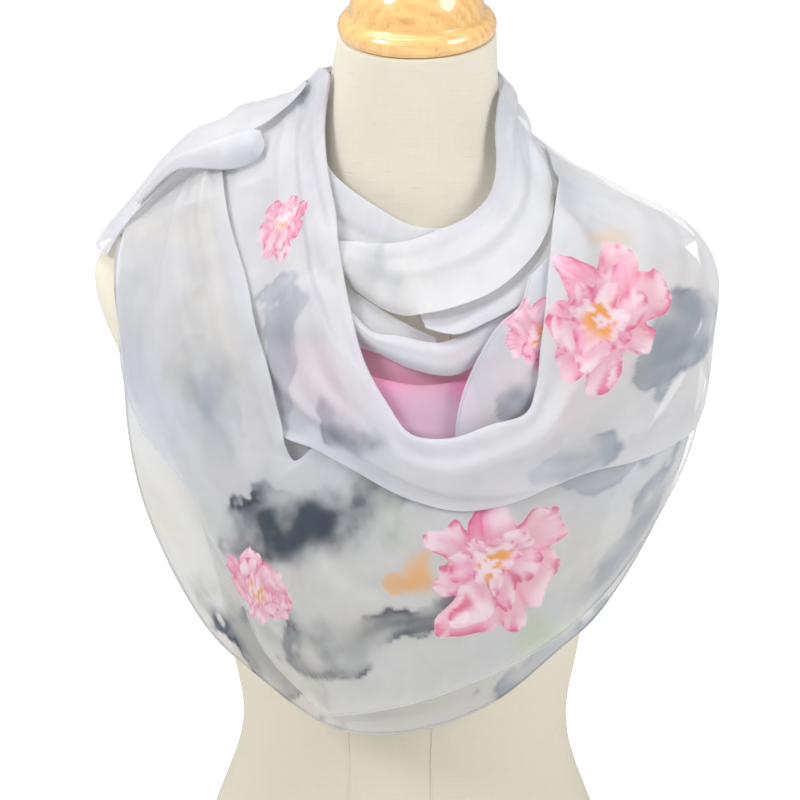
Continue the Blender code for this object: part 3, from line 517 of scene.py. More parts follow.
# Secondary creases, the same kind of row as FOLDS.
CREASES = [Fold(*row) for row in (
    ("scarf_cowl",            0.5, 0.12,  7.5, 0.10,  1.6, 7),
    ("scarf_cowl",            3.0, 0.46, 11.0, 0.50,  2.6, 9),
    ("scarf_cowl",            4.5, 0.66, 12.0, 0.66, -2.2, 10),
    ("scarf_cowl",            5.0, 0.84, 11.5, 0.82,  2.0, 9),
    ("scarf_cowl",            5.5, 0.14, 12.0, 0.10, -1.6, 6),
    ("scarf_cowl",            9.0, 0.40, 15.0, 0.50, -2.2, 11),
    ("scarf_cowl",           10.0, 0.58, 16.5, 0.36,  2.0, 10),
    ("scarf_cowl",           13.0, 0.20, 17.0, 0.25, -1.8, 11),
    ("scarf_cowl",           15.0, 0.35, 20.5, 0.30,  2.0, 10),
    ("scarf_cowl",           15.5, 0.60, 22.0, 0.74, -2.4, 13),
    ("scarf_cowl",           16.0, 0.14, 23.0, 0.16, -2.0, 8),
    ("scarf_cowl",           17.0, 0.30, 24.5, 0.34,  2.6, 12),
    ("scarf_cowl",           18.5, 0.84, 24.0, 0.60,  2.2, 14),
    ("scarf_cowl",           19.5, 0.48, 25.0, 0.50, -2.0, 9),
    ("scarf_front_layer",     0.5, 0.08,  3.0, 0.16, -2.0, 5),
    ("scarf_front_layer",     0.5, 0.14,  2.6, 0.24,  1.8, 5),
    ("scarf_front_layer",     0.4, 0.28,  3.4, 0.36,  1.8, 6),
    ("scarf_front_layer",     0.3, 0.20,  6.0, 0.24,  2.4, 8),
    ("scarf_front_layer",     0.2, 0.34,  4.6, 0.40, -2.6, 8),
    ("scarf_front_layer",     1.0, 0.74,  7.0, 0.88,  2.0, 7),
    ("scarf_front_layer",     3.5, 0.42, 10.5, 0.40,  2.6, 12),
    ("scarf_front_layer",     5.0, 0.60, 12.0, 0.78, -2.2, 14),
    ("scarf_front_layer",     8.5, 0.30, 15.0, 0.62, -2.6, 16),
    ("scarf_front_layer",     9.5, 0.52, 13.0, 0.90,  2.4, 13),
    ("scarf_front_layer",    10.5, 0.16, 15.5, 0.20,  2.0, 13),
    ("scarf_front_layer",    13.0, 0.42, 17.8, 0.36, -2.4, 15),
    ("scarf_front_layer",    14.0, 0.74, 17.6, 0.58,  2.2, 14),
    ("scarf_under_layer",     3.0, 0.50,  8.0, 0.75,  2.2, 16),
    ("scarf_under_layer",     4.0, 0.85,  9.0, 0.92, -1.8, 14),
    ("scarf_under_layer",     8.0, 0.60, 13.0, 0.80,  2.2, 18),
    ("scarf_shoulder_left",   0.2, 0.16,  5.0, 0.14,  0.9, 8),
    ("scarf_shoulder_left",   0.0, 0.24,  2.4, 0.27, -1.2, 5),
    ("scarf_shoulder_tuck",   1.2, 0.45,  4.6, 0.62, -1.2, 4),
    ("scarf_shoulder_tuck",   2.2, 0.75,  4.8, 0.85, -1.2, 4),
    ("scarf_shoulder_left",   0.0, 0.36,  5.0, 0.40, -1.1, 9),
    ("scarf_shoulder_left",   0.3, 0.52,  6.0, 0.46,  0.8, 10),
    ("scarf_shoulder_left",   2.0, 0.78,  7.0, 0.74,  2.0, 12),
    ("scarf_shoulder_left",   3.0, 0.90,  7.0, 0.88, -2.0, 9),
    ("scarf_shoulder_right",  1.0, 0.20,  6.5, 0.22,  2.0, 9),
    ("scarf_shoulder_right",  0.8, 0.52,  6.5, 0.45,  2.4, 10),
    ("scarf_shoulder_right",  1.0, 0.84,  6.8, 0.80,  2.2, 11),
    ("scarf_neck_right",      0.5, 0.30,  8.0, 0.25,  1.4, 6),
    ("scarf_neck_right",      3.0, 0.74, 10.0, 0.62, -2.2, 7),
    ("scarf_neck_right",      5.0, 0.50, 12.5, 0.42,  2.4, 8),
    ("scarf_neck_right",      7.0, 0.22, 13.5, 0.24, -1.8, 7),
    ("scarf_neck_left",       1.0, 0.45,  8.0, 0.55, -1.6, 6),
    ("scarf_neck_left",       4.0, 0.76,  9.0, 0.72,  1.4, 6),
    ("scarf_cowl_bed",        1.0, 0.35,  5.0, 0.55,  2.4, 10),
    ("scarf_cowl_bed",        1.5, 0.75,  5.0, 0.80, -2.0, 9),
    ("scarf_cowl_bed_fold",   0.5, 0.55,  3.6, 0.70,  2.0, 8),
    ("scarf_inner_roll",      1.0, 0.55,  7.0, 0.45, -1.4, 6),
    ("scarf_tucked_end",      0.5, 0.50,  5.5, 0.60,  2.0, 9),
    ("scarf_tucked_end",      1.5, 0.80,  6.5, 0.34, -1.6, 7),
)]

ROUND_ENDS = {"scarf_shoulder_tuck": 1.4}    # how many stations the rounding of a rolled end takes


def blur(a, times=1):
    for _ in range(times):
        b = np.pad(a, ((1, 1), (0, 0)), mode="edge")
        a = (b[:-2] + 2*b[1:-1] + b[2:])/4
        b = np.pad(a, ((0, 0), (1, 1)), mode="edge")
        a = (b[:, :-2] + 2*b[:, 1:-1] + b[:, 2:])/4
    return a


TURNS, DROPS = int(360/MAP_TURN), 250


def spread(field, turns, drops):
    """each cell takes the highest of the cells around it"""
    out = field.copy()
    for i in range(-turns, turns + 1):
        for j in range(-drops, drops + 1):
            if (i/(turns + 0.5))**2 + (j/(drops + 0.5))**2 <= 1:
                f = np.roll(field, i, 0)
                f = np.roll(f, j, 1)
                if j > 0:
                    f[:, :j] = 0
                elif j < 0:
                    f[:, j:] = 0
                out = np.maximum(out, f)
    return out


def blur_map(field, times):
    for _ in range(times):
        field = (np.roll(field, 1, 0) + 2*field + np.roll(field, -1, 0))/4
        b = np.pad(field, ((0, 0), (1, 1)), mode="edge")
        field = (b[:, :-2] + 2*b[:, 1:-1] + b[:, 2:])/4
    return field


def height_map(turn, drop, rise):
    field = np.zeros((TURNS, DROPS))
    nu, nv = turn.shape
    for a in (0.0, 0.5):
        for b in (0.0, 0.5):
            q = []
            for f in (turn, drop, rise):
                g = f[:-1, :-1]*(1-a)*(1-b) + f[1:, :-1]*a*(1-b) + f[:-1, 1:]*(1-a)*b + f[1:, 1:]*a*b
                q.append(g)
            x = np.mod(np.round(q[0]/MAP_TURN), TURNS).astype(int).ravel()
            y = np.clip(np.round(q[1]/MAP_DROP), 0, DROPS - 1).astype(int).ravel()
            np.maximum.at(field, (x, y), q[2].ravel())
    return field


def read_map(field, turn, drop):
    x, y = np.mod(turn/MAP_TURN, TURNS), np.clip(drop/MAP_DROP, 0, DROPS - 1.001)
    i, j = np.floor(x).astype(int) % TURNS, np.floor(y).astype(int)
    u, v = x - np.floor(x), y - j
    k = (i + 1) % TURNS
    return (field[i, j]*(1-u) + field[k, j]*u)*(1-v) + (field[i, j+1]*(1-u) + field[k, j+1]*u)*v


def stretch_grid(make, across=None, step=STEP):
    """turn, drop and rise of a strip's points, each point's place along (stations) and across (0 to 1), and its creases"""
    rows = [tuple(r) for r in make.rows]
    edges = np.array([[(r.in_turn, r.in_drop), (r.out_turn, r.out_drop)] for r in make.rows])
    where = drape.at(edges[..., 0], edges[..., 1]/1000)[0]
    at = [0.0]
    for k, length in enumerate(np.linalg.norm(np.diff(where, axis=0), axis=2).max(1)):
        n = max(2, round(length/step))
        at += [k + (i + 1)/n for i in range(n)]
    at = np.array(at)
    line = through(rows, at, make.corner)
    wide = np.linalg.norm(where[:, 1] - where[:, 0], axis=1)
    across = across or max(8, round(np.percentile(wide, 80)*1.05/step))
    v = np.linspace(0, 1, across + 1)
    turn = line[:, 0:1]*(1-v) + line[:, 3:4]*v
    drop = (line[:, 1:2]*(1-v) + line[:, 4:5]*v)/1000
    rise = (line[:, 2:3]*(1-v) + line[:, 5:6]*v)/1000
    along, over = np.broadcast_to(at[:, None], turn.shape), np.broadcast_to(v, turn.shape)
    width = np.interp(at, np.arange(len(wide)), wide)[:, None]
    belly = make.belly/1000*np.sin(np.pi*v)**0.7*np.clip(width/0.018, 0, 1)
    if make.name in ROUND_ENDS:
        belly = belly*np.sqrt(1 - np.clip(1 - along/ROUND_ENDS[make.name], 0, 1)**2)
    crease = np.zeros_like(rise) + belly
    for f in FOLDS + CREASES:
        if f.stretch == make.name:
            t = np.clip((along - f.from_along)/(f.to_along - f.from_along), 0, 1)
            centre = f.from_across + (f.to_across - f.from_across)*t
            off = (over - centre)*width/(f.width/1000/2)
            crease += f.height/1000*np.exp(-off*off)*np.sin(np.pi*t)**0.7
    for line in sorted({g.line for g in LEDGES if g.stretch == make.name}):
        g = [g for g in LEDGES if (g.stretch, g.line) == (make.name, line)]
        centre, height = (np.interp(along, [r.along for r in g], [r[k] for r in g]) for k in (3, 4))
        off = np.clip((over - centre)*width/(g[0].width/1000*0.6) + 0.5, 0, 1)
        fade = 1 - 0.85*np.clip((over - centre)/(1 - centre), 0, 1)*(height > 0)
        crease += height/1000*off*off*(3 - 2*off)*fade
    for roll, far in ((make.roll_in, over), (make.roll_out, 1 - over)):
        if roll:
            x = np.clip(1 - far*width/(roll*0.0016), 0, 1)
            crease -= roll/1000*(1 - np.sqrt(1 - x*x*0.98))*0.5
    return turn, drop, rise, along, over, crease


def soft_max(a, b, soft=0.0012):
    return 0.5*(a + b + np.sqrt((a - b)**2 + soft*soft))


def extra_depth(name):
    """how far below its own surface a stretch's turned-under edges reach"""
    bends = [e.bend for (stretch, side), e in EDGES.items() if stretch == name]
    return 2*max(bends)/1000 if bends else 0.0


def lay_all():
    maps, grids, laid = {}, {}, {}

    def lay(make, on, part=None):
        turn, drop, rise, along, over, crease, least = laid.get(make.name) or (*stretch_grid(make), -0.0015)
        below = [maps[n] for n in on]
        if below:
            top = np.max(below, axis=0)
            top = np.where(top > 0, top + GAP + extra_depth(make.name), 0)
            top = blur_map(spread(top, 3, 4), 3)
            lift = read_map(top, turn, drop)
            keep = np.ones_like(rise) if part is None else part(along)
            lift = lift*keep
            rise = np.where(lift > 0, soft_max(rise, lift), rise)
            for _ in range(4):
                rise = np.maximum(blur(rise, 3), lift)
            rise = blur(rise, 2)
            least = np.maximum(least, np.where(lift > 0, lift, -0.0015))
        laid[make.name] = turn, drop, rise, along, over, crease, least
        return turn, drop, blur(soft_max(rise + crease, least, 0.0005)), along, over

    for make in MAKES:
        on = list(maps) if make.on == ("*",) else list(make.on)
        if make.name == "scarf_shoulder_left":
            on = [n for n in on if n != "scarf_neck_right"]
        grids[make.name] = lay(make, on)
        turn, drop, rise, along, over = grids[make.name]
        if make.name == "scarf_shoulder_left":
            rise = rise + (blur(rise, 14) - rise)*np.clip((1.8 - along)/0.9, 0, 1)
            rise = rise - 0.0035*np.clip(1.6 - along, 0, 1)*np.clip((over - 0.72)/0.28, 0, 1)
            drop = drop + 0.006*np.sin(np.pi*np.clip((along - 0.6)/4.4, 0, 1))*(1 - over)**3
            grids[make.name] = turn, drop, rise, along, over
        if make.name == "scarf_neck_left":
            drop = drop + 0.006*np.clip(2.5 - along, 0, 1)*(1 - over)**2
            grids[make.name] = turn, drop, rise, along, over
        if make.name == "scarf_front_layer":
            low = along[:, 0] >= FRONT_LEFT - 0.5
            maps[make.name] = height_map(turn[low], drop[low], rise[low])
        else:
            maps[make.name] = height_map(turn, drop, rise)
        if make.name == "scarf_cowl":
            front = next(m for m in MAKES if m.name == "scarf_front_layer")
            ease = lambda along: np.clip((FRONT_LEFT - along)/0.5, 0, 1)
            grids[front.name] = lay(front, [n for n in maps if n != front.name], ease)
            turn, drop, rise, along, over = grids[front.name]
            maps[front.name] = height_map(turn, drop, rise)
    return grids


drape = Surface(DRAPE)
grids = lay_all()


def surface_points(turn, drop, rise):
    p, n = drape.at(turn, drop)
    return p + n*rise[..., None], n


def fold_under(p, n, side, edge, along, start=None):
    """points of a turned-under edge: round the bend and back below the surface; columns run away from the strip. The
    turned-under part widens from nothing over the first stations, up to start"""
    line = p if side == "in" else p[:, ::-1]
    normal = n if side == "in" else n[:, ::-1]
    step = np.linalg.norm(np.diff(line, axis=1), axis=2)
    run = np.concatenate([np.zeros((len(line), 1)), np.cumsum(step, axis=1)], axis=1)
    r = edge.bend/1000
    away = line[:, 0] - line[:, 1]
    away /= np.linalg.norm(away, axis=1, keepdims=True)
    up = normal[:, 0]
    cols = []
    for k in range(1, 7):
        a = math.pi*k/7
        cols.append(line[:, 0] + away*(r*math.sin(a)) - up*(r*(1 - math.cos(a))))
    width = edge.under/1000
    count = max(3, int(width/STEP))
    for k in range(0, count + 1):
        s = width*k/count*(np.clip(along[:, 0]/start, 0.04, 1) if start else np.ones(len(line)))
        q = np.empty((len(line), 3))
        for i in range(len(line)):
            for c in range(3):
                q[i, c] = np.interp(s[i], run[i], line[i, :, c] - normal[i, :, c]*2*r)
        cols.append(q)
    return np.stack(cols, 1)


def sheet_mesh(name, p, uv, look, thickness=SHELL):
    """a closed thin shell on a grid of points"""
    nu, nv = p.shape[:2]
    mesh = bpy.data.meshes.new(name)
    verts = p.reshape(-1, 3)
    i, j = np.meshgrid(np.arange(nu - 1), np.arange(nv - 1), indexing="ij")
    a = (i*nv + j).ravel()
    faces = np.stack([a, a + 1, a + nv + 1, a + nv], 1)
    # keep faces pointing out of the body
    c = verts[faces].mean(1)
    nrm = np.cross(verts[faces[:, 2]] - verts[faces[:, 0]], verts[faces[:, 3]] - verts[faces[:, 1]])
    mid = len(faces)//2
    radial = c - np.array([0, 0, 0])
    radial[:, 2] = 0
    if (nrm*radial).sum() < 0:
        faces = faces[:, ::-1]
    mesh.from_pydata(verts.tolist(), [], faces.tolist())
    layer = mesh.uv_layers.new(name="cloth")
    flat = uv.reshape(-1, 2)
    loops = np.empty(len(mesh.loops), int)
    mesh.loops.foreach_get("vertex_index", loops)
    layer.data.foreach_set("uv", flat[loops].ravel())
    paint_mesh(mesh, flat, look)
    obj = bpy.data.objects.new(name, mesh)
    bpy.context.scene.collection.objects.link(obj)
    wall = obj.modifiers.new("wall", "SOLIDIFY")
    wall.thickness = thickness
    wall.offset = 0.0
    wall.use_even_offset = False
    apply_modifiers(obj)
    obj.data.shade_smooth()
    return obj


def apply_modifiers(obj):
    graph = bpy.context.evaluated_depsgraph_get()
    done = bpy.data.meshes.new_from_object(obj.evaluated_get(graph))
    old = obj.data
    obj.modifiers.clear()
    obj.data = done
    done.name = obj.name
    bpy.data.meshes.remove(old)


def tube(name, line, radius, sides=8, wobble=0.0, seed=0, closed_ends=True):
    """a thin tube along a line of points; its radius can vary"""
    line = np.asarray(line, float)
    t = np.gradient(line, axis=0)
    t /= np.linalg.norm(t, axis=1, keepdims=True)
    n = np.zeros_like(line)
    ref = np.array([0.0, 0.0, 1.0])
    first = np.cross(t[0], ref)
    if np.linalg.norm(first) < 1e-3:
        first = np.cross(t[0], [1.0, 0, 0])
    n[0] = first/np.linalg.norm(first)
    for i in range(1, len(line)):
        v = n[i-1] - t[i]*np.dot(n[i-1], t[i])
        n[i] = v/np.linalg.norm(v)
    b = np.cross(t, n)
    rng = np.random.default_rng(seed)
    r = np.full(len(line), radius)
    if wobble:
        x = rng.normal(size=len(line) + 20)
        x = np.convolve(x, np.hanning(7)/np.hanning(7).sum(), mode="same")[10:10 + len(line)]
        r = radius*(1 + wobble*x)
    a = np.arange(sides)*2*math.pi/sides
    rings = line[:, None] + (n[:, None]*np.cos(a)[None, :, None] + b[:, None]*np.sin(a)[None, :, None])*r[:, None, None]
    nu = len(line)
    verts = rings.reshape(-1, 3)
    faces = []
    for i in range(nu - 1):
        for k in range(sides):
            m = (k + 1) % sides
            faces.append((i*sides + k, i*sides + m, (i+1)*sides + m, (i+1)*sides + k))
    faces.append(tuple(range(sides))[::-1])
    faces.append(tuple((nu-1)*sides + k for k in range(sides)))
    mesh = bpy.data.meshes.new(name)
    mesh.from_pydata(verts.tolist(), [], faces)
    bm = bmesh.new()
    bm.from_mesh(mesh)
    bmesh.ops.recalc_face_normals(bm, faces=bm.faces)
    bm.to_mesh(mesh)
    bm.free()
    mesh.shade_smooth()
    obj = bpy.data.objects.new(name, mesh)
    bpy.context.scene.collection.objects.link(obj)
    return obj


U_SCALE = math.radians(1)*0.16       # metres of cloth to a degree of turn


def cloth_piece(name, grid):
    turn, drop, rise, along, over = grid
    p, n = surface_points(turn, drop, rise)
    uv = np.stack([turn*U_SCALE, drop], -1)
    blocks, uvs = [p], [uv]
    stretch = name
    for side in ("in", "out"):
        edge = EDGES.get((stretch, side))
        if edge:
            extra = fold_under(p, n, side, edge, along)
            euv = uv[:, :1] if side == "in" else uv[:, -1:]
            euv = np.repeat(euv, extra.shape[1], 1).copy()
            k = np.arange(extra.shape[1])*STEP
            euv[..., 1] += k if side == "out" else -k
            if side == "in":
                blocks.insert(0, extra[:, ::-1])
                uvs.insert(0, euv[:, ::-1])
            else:
                blocks.append(extra)
                uvs.append(euv)
    return np.concatenate(blocks, 1), np.concatenate(uvs, 1)


# ---------------------------------------------------------------------------------------------- shader helpers
def lin(r, g, b):
    """a colour given as 0 to 255 display values, made linear"""
    return tuple(((c/255)/12.92 if c/255 <= 0.04045 else (((c/255) + 0.055)/1.055)**2.4) for c in (r, g, b))


class Val:
    """a number in a node tree, with arithmetic"""

    def __init__(self, tree, socket):
        self.tree, self.socket = tree, socket

    def node(self, op, *others, clamp=False):
        n = self.tree.nodes.new("ShaderNodeMath")
        n.operation = op
        n.use_clamp = clamp
        for k, v in enumerate((self, *others)):
            if isinstance(v, Val):
                self.tree.links.new(v.socket, n.inputs[k])
            else:
                n.inputs[k].default_value = v
        return Val(self.tree, n.outputs[0])

    def __add__(self, o): return self.node("ADD", o)
    __radd__ = __add__
    def __sub__(self, o): return self.node("SUBTRACT", o)
    def __rsub__(self, o): return (self*-1.0) + o
    def __mul__(self, o): return self.node("MULTIPLY", o)
    __rmul__ = __mul__
    def __truediv__(self, o): return self.node("DIVIDE", o)
    def __pow__(self, o): return self.node("POWER", o)
    def abs(self): return self.node("ABSOLUTE")
    def sin(self): return self.node("SINE")
    def cos(self): return self.node("COSINE")
    def sqrt(self): return self.node("SQRT")
    def atan2(self, o): return self.node("ARCTAN2", o)
    def min(self, o): return self.node("MINIMUM", o)
    def max(self, o): return self.node("MAXIMUM", o)
    def clamp(self): return self.node("ADD", 0.0, clamp=True)

    def step(self, a, b):
        """0 at a, 1 at b, smooth between"""
        n = self.tree.nodes.new("ShaderNodeMapRange")
        n.interpolation_type = "SMOOTHSTEP"
        self.tree.links.new(self.socket, n.inputs["Value"])
        for key, v in (("From Min", a), ("From Max", b)):
            if isinstance(v, Val):
                self.tree.links.new(v.socket, n.inputs[key])
            else:
                n.inputs[key].default_value = v
        return Val(self.tree, n.outputs["Result"])


class Paint:
    """builds a material's colours and numbers"""

    def __init__(self, name):
        self.mat = bpy.data.materials.new(name)
        self.mat.use_nodes = True
        self.tree = self.mat.node_tree
        self.shader = self.tree.nodes["Principled BSDF"]
        self.output = self.tree.nodes["Material Output"]

    def link(self, a, b):
        self.tree.links.new(a, b)

    def uv(self):
        n = self.tree.nodes.new("ShaderNodeUVMap")
        n.uv_map = "cloth"
        s = self.tree.nodes.new("ShaderNodeSeparateXYZ")
        self.link(n.outputs[0], s.inputs[0])
        return Val(self.tree, s.outputs[0]), Val(self.tree, s.outputs[1])

    def stored(self, name):
        n = self.tree.nodes.new("ShaderNodeAttribute")
        n.attribute_name = name
        return n

    def position(self):
        n = self.tree.nodes.new("ShaderNodeTexCoord")
        s = self.tree.nodes.new("ShaderNodeSeparateXYZ")
        self.link(n.outputs["Object"], s.inputs[0])
        return tuple(Val(self.tree, s.outputs[k]) for k in range(3))

    def vector(self, x, y, z=0.0):
        n = self.tree.nodes.new("ShaderNodeCombineXYZ")
        for k, v in enumerate((x, y, z)):
            if isinstance(v, Val):
                self.link(v.socket, n.inputs[k])
            else:
                n.inputs[k].default_value = v
        return n.outputs[0]

    def noise(self, vector, scale, detail=3.0, roughness=0.55, distortion=0.0):
        n = self.tree.nodes.new("ShaderNodeTexNoise")
        self.link(vector, n.inputs["Vector"])
        n.inputs["Scale"].default_value = scale
        n.inputs["Detail"].default_value = detail
        n.inputs["Roughness"].default_value = roughness
        n.inputs["Distortion"].default_value = distortion
        return Val(self.tree, n.outputs["Fac"])

    def mix(self, factor, a, b, blend="MIX"):
        n = self.tree.nodes.new("ShaderNodeMix")
        n.data_type = "RGBA"
        n.blend_type = blend
        n.clamp_factor = True
        if isinstance(factor, Val):
            self.link(factor.socket, n.inputs[0])
        else:
            n.inputs[0].default_value = factor
        for v, s in ((a, n.inputs[6]), (b, n.inputs[7])):
            if isinstance(v, tuple):
                s.default_value = (*v[:3], 1.0)
            else:
                self.link(v, s)
        return n.outputs[2]

    def bump(self, height, strength, distance, normal=None):
        n = self.tree.nodes.new("ShaderNodeBump")
        n.inputs["Strength"].default_value = strength
        n.inputs["Distance"].default_value = distance
        self.link(height.socket, n.inputs["Height"])
        if normal is not None:
            self.link(normal, n.inputs["Normal"])
        return n.outputs[0]


# ---------------------------------------------------------------------------------------------- the print
PALE = lin(231, 231, 236)
# painted light: the same pale ground made lighter, for the left shoulder's cloth and its tuck
PAINTED_LIT_PALE = lin(235, 235, 240)
SHADE = lin(218, 223, 233)
SLATE = lin(122, 135, 154)
INK = lin(62, 72, 88)
WARM = lin(238, 235, 227)
PETAL = lin(255, 232, 242)
ROSE = lin(251, 146, 194)
DEEP = lin(225, 72, 124)
CORAL = lin(238, 120, 120)
STAMEN = lin(248, 176, 92)
LEAF = lin(200, 212, 182)
OCHRE = lin(244, 184, 110)
FORM_SHADE_THROUGH = lin(190, 188, 178)                 # painted shade: the form's shaded edge seen through the cloth, painted onto it
CREAMED = np.array([0.975, 0.965, 0.90])      # the ground grows creamier towards the hem


def grain(x, y, scale, seed, octaves=3, rough=0.5):
    """a smooth random field of 0 to 1 over x and y"""
    total, gain, size = 0.0, 1.0, 0.0
    for k in range(octaves):
        table = np.random.default_rng(seed*37 + k).random((64, 64))
        a, b = x*scale*2.0**k + 17.3*k, y*scale*2.0**k + 5.1*k
        i, j = np.floor(a).astype(int), np.floor(b).astype(int)
        f, g = a - i, b - j
        f, g = f*f*f*(f*(f*6 - 15) + 10), g*g*g*(g*(g*6 - 15) + 10)
        i, j, m, n = i % 64, j % 64, (i + 1) % 64, (j + 1) % 64
        total = total + gain*((table[i, j]*(1-f) + table[m, j]*f)*(1-g) + (table[i, n]*(1-f) + table[m, n]*f)*g)
        size, gain = size + gain, gain*rough
    return total/size


def ease(x, low, high):
    """0 at low, 1 at high, smooth between"""
    t = np.clip((x - low)/(high - low), 0, 1)
    return t*t*(3 - 2*t)


def mixed(a, b, amount):
    t = np.clip(amount, 0, 1)[..., None]
    return a*(1 - t) + np.asarray(b)*t


Wash = namedtuple("Wash", "turn drop long wide tilt strength tint seed")
Bloom = namedtuple("Bloom", "turn drop radius spin seed")
Ring = namedtuple("Ring", "petals size dip phase")
RINGS = (Ring(7, 1.00, 0.34, 0.0), Ring(6, 0.68, 0.30, 0.4), Ring(5, 0.38, 0.28, 0.9))


def wash(colour, depth, u, v, w):
    """a pool of colour with lobed, partly feathered sides and a darker rim where it dried, painted over colour"""
    s, c = math.sin(math.radians(w.tilt)), math.cos(math.radians(w.tilt))
    x, y = u - w.turn*U_SCALE, v - w.drop/1000
    along, over = u*0.8 + v*0.6, v*0.8 - u*0.6
    x, y = x + (grain(along, over, 24, w.seed, 2) - 0.5)*0.026, y + (grain(along, over, 24, w.seed + 40, 2) - 0.5)*0.026
    p, q = (x*c + y*s)/w.long, (y*c - x*s)/w.wide
    fine = grain(along, over, 62, w.seed + 50, 3, 0.6) - 0.5
    d = np.hypot(p, q) + fine*0.9
    feather = ease(grain(u, v, 24, w.seed + 60, 2), 0.40, 0.62)
    body = ease(-d, -1.05, -0.85)*(1 - feather) + ease(-d, -1.20, -0.15)*feather
    inner = grain((x*c + y*s)*0.45, y*c - x*s, 42, w.seed + 90, 3, 0.55)
    body = body*(0.45 + 0.65*ease(inner, 0.30, 0.68))
    rim = ease(-d, -1.02, -0.93)*ease(d, 0.74, 0.90)*0.35*(1 - feather)
    amount = np.clip((body + rim)*w.strength, 0, 1)
    return mixed(colour, w.tint, amount), np.maximum(depth, amount)


def blossom(u, v, b):
    """a loose round blossom: for each ring of petals, how far inside its outline a place is, in metres, and its colour"""
    p, q = (u - b.turn*U_SCALE)/b.radius, (v - b.drop/1000)/b.radius
    warp = grain(p, q, 1.5, b.seed, 2) - 0.5, grain(p, q, 1.5, b.seed + 1, 2) - 0.5
    p, q = p + warp[0]*0.5, q + warp[1]*0.5
    r, a = np.hypot(p, q), np.arctan2(p, q) + b.spin
    rough = grain(p, q, 7.0, b.seed + 2, 2) - 0.5
    rng = np.random.default_rng(b.seed)
    out = []
    for k, ring in enumerate(RINGS):
        x = (a/(2*math.pi)*ring.petals + ring.phase) % ring.petals
        i = np.floor(x).astype(int) % ring.petals
        f = (x - np.floor(x))*2 - 1
        length = rng.uniform(0.86, 1.12, ring.petals)[i]
        notch = rng.uniform(-0.35, 0.35, ring.petals)[i]
        edge = ring.size*length*(1 - ring.dip*np.abs(f)**2.3 - 0.07*np.exp(-((f - notch)/0.2)**2))*(1 + 0.16*rough)
        t = np.clip(r/edge, 0, 1)
        streak = grain(f*1.7 + i*9.0, r*1.3 + k*9, 2.0, b.seed + 7*k + 5, 3, 0.6)
        soft = grain(p, q, 2.2, b.seed + 11*k + 3, 2)
        tone = mixed(np.broadcast_to(PETAL, r.shape + (3,)), ROSE, -0.10 + 0.50*t**2 + (streak - 0.5)*1.1 + (soft - 0.5)*1.3)
        tone = mixed(tone, DEEP, ease(t, 0.72, 1.0)*ease(streak, 0.46, 0.66)*0.8)
        tone = mixed(tone, DEEP if k else ROSE, ease(np.abs(f), 0.72, 1.0)*0.4*ease(t, 0.1, 0.6))
        if k < 2:
            tone = mixed(tone, DEEP, ease(-r, -RINGS[k + 1].size*1.35, -RINGS[k + 1].size*0.9)*0.34)
        else:
            dots = grain(p, q, 11.0, b.seed + 21, 2)
            tone = mixed(tone, STAMEN, ease(-r, -0.30, -0.18)*ease(dots, 0.46, 0.56))
        out.append(((edge - r)*b.radius, tone))
    return out


def print_on(uv, look):
    """colours of the print at places on the cloth: the ground with its washes, and three rings of petals over it"""
    u, v = uv[..., 0], uv[..., 1]
    su, sv = u + look.shift[0], v + look.shift[1]
    colour = mixed(np.broadcast_to(look.base, u.shape + (3,)), SHADE, ease(grain(su, sv, 11, 3, 3), 0.40, 0.72)*0.6)
    colour = mixed(colour, WARM, ease(grain(su, sv, 9, 5, 3), 0.48, 0.72)*0.28)
    colour = mixed(colour, colour*CREAMED, ease(v, 0.26, 0.36))
    depth = np.zeros(u.shape)
    for w in look.washes:
        colour, depth = wash(colour, depth, u, v, w)
    inside = np.full((3,) + u.shape, -1.0)
    petals = np.repeat(colour[None], 3, 0)
    for b in look.blooms:
        rings = blossom(u, v, b)
        over = rings[0][0] > inside[0]
        for k, (m, tone) in enumerate(rings):
            inside[k] = np.where(over, m, inside[k])
            petals[k] = np.where(over[..., None], tone, petals[k])
    alpha = look.alpha + 0.16*depth + 0.10*(grain(su, sv, 60, 8, 3) - 0.5)
    alpha = alpha + 0.14*ease(inside[0], -0.001, 0.002)
    return colour, np.clip(alpha, 0.1, 0.9), inside, petals


def paint_mesh(mesh, uv, look):
    """stores the print on a mesh whose vertices lie at uv"""
    colour, alpha, inside, petals = print_on(uv, look)
    stored = {"ground": np.concatenate([colour, alpha[..., None]], -1),
              "rings": np.concatenate([np.moveaxis(inside, 0, -1)*100 + 0.5, np.ones(uv.shape[:-1] + (1,))], -1)}
    if look.blooms:
        for k in range(3):
            stored["petals_%d" % (k + 1)] = np.concatenate([petals[k], np.ones(uv.shape[:-1] + (1,))], -1)
    for name, field in stored.items():
        layer = mesh.attributes.new(name, "FLOAT_COLOR", "POINT")
        layer.data.foreach_set("color", field.astype(np.float32).ravel())


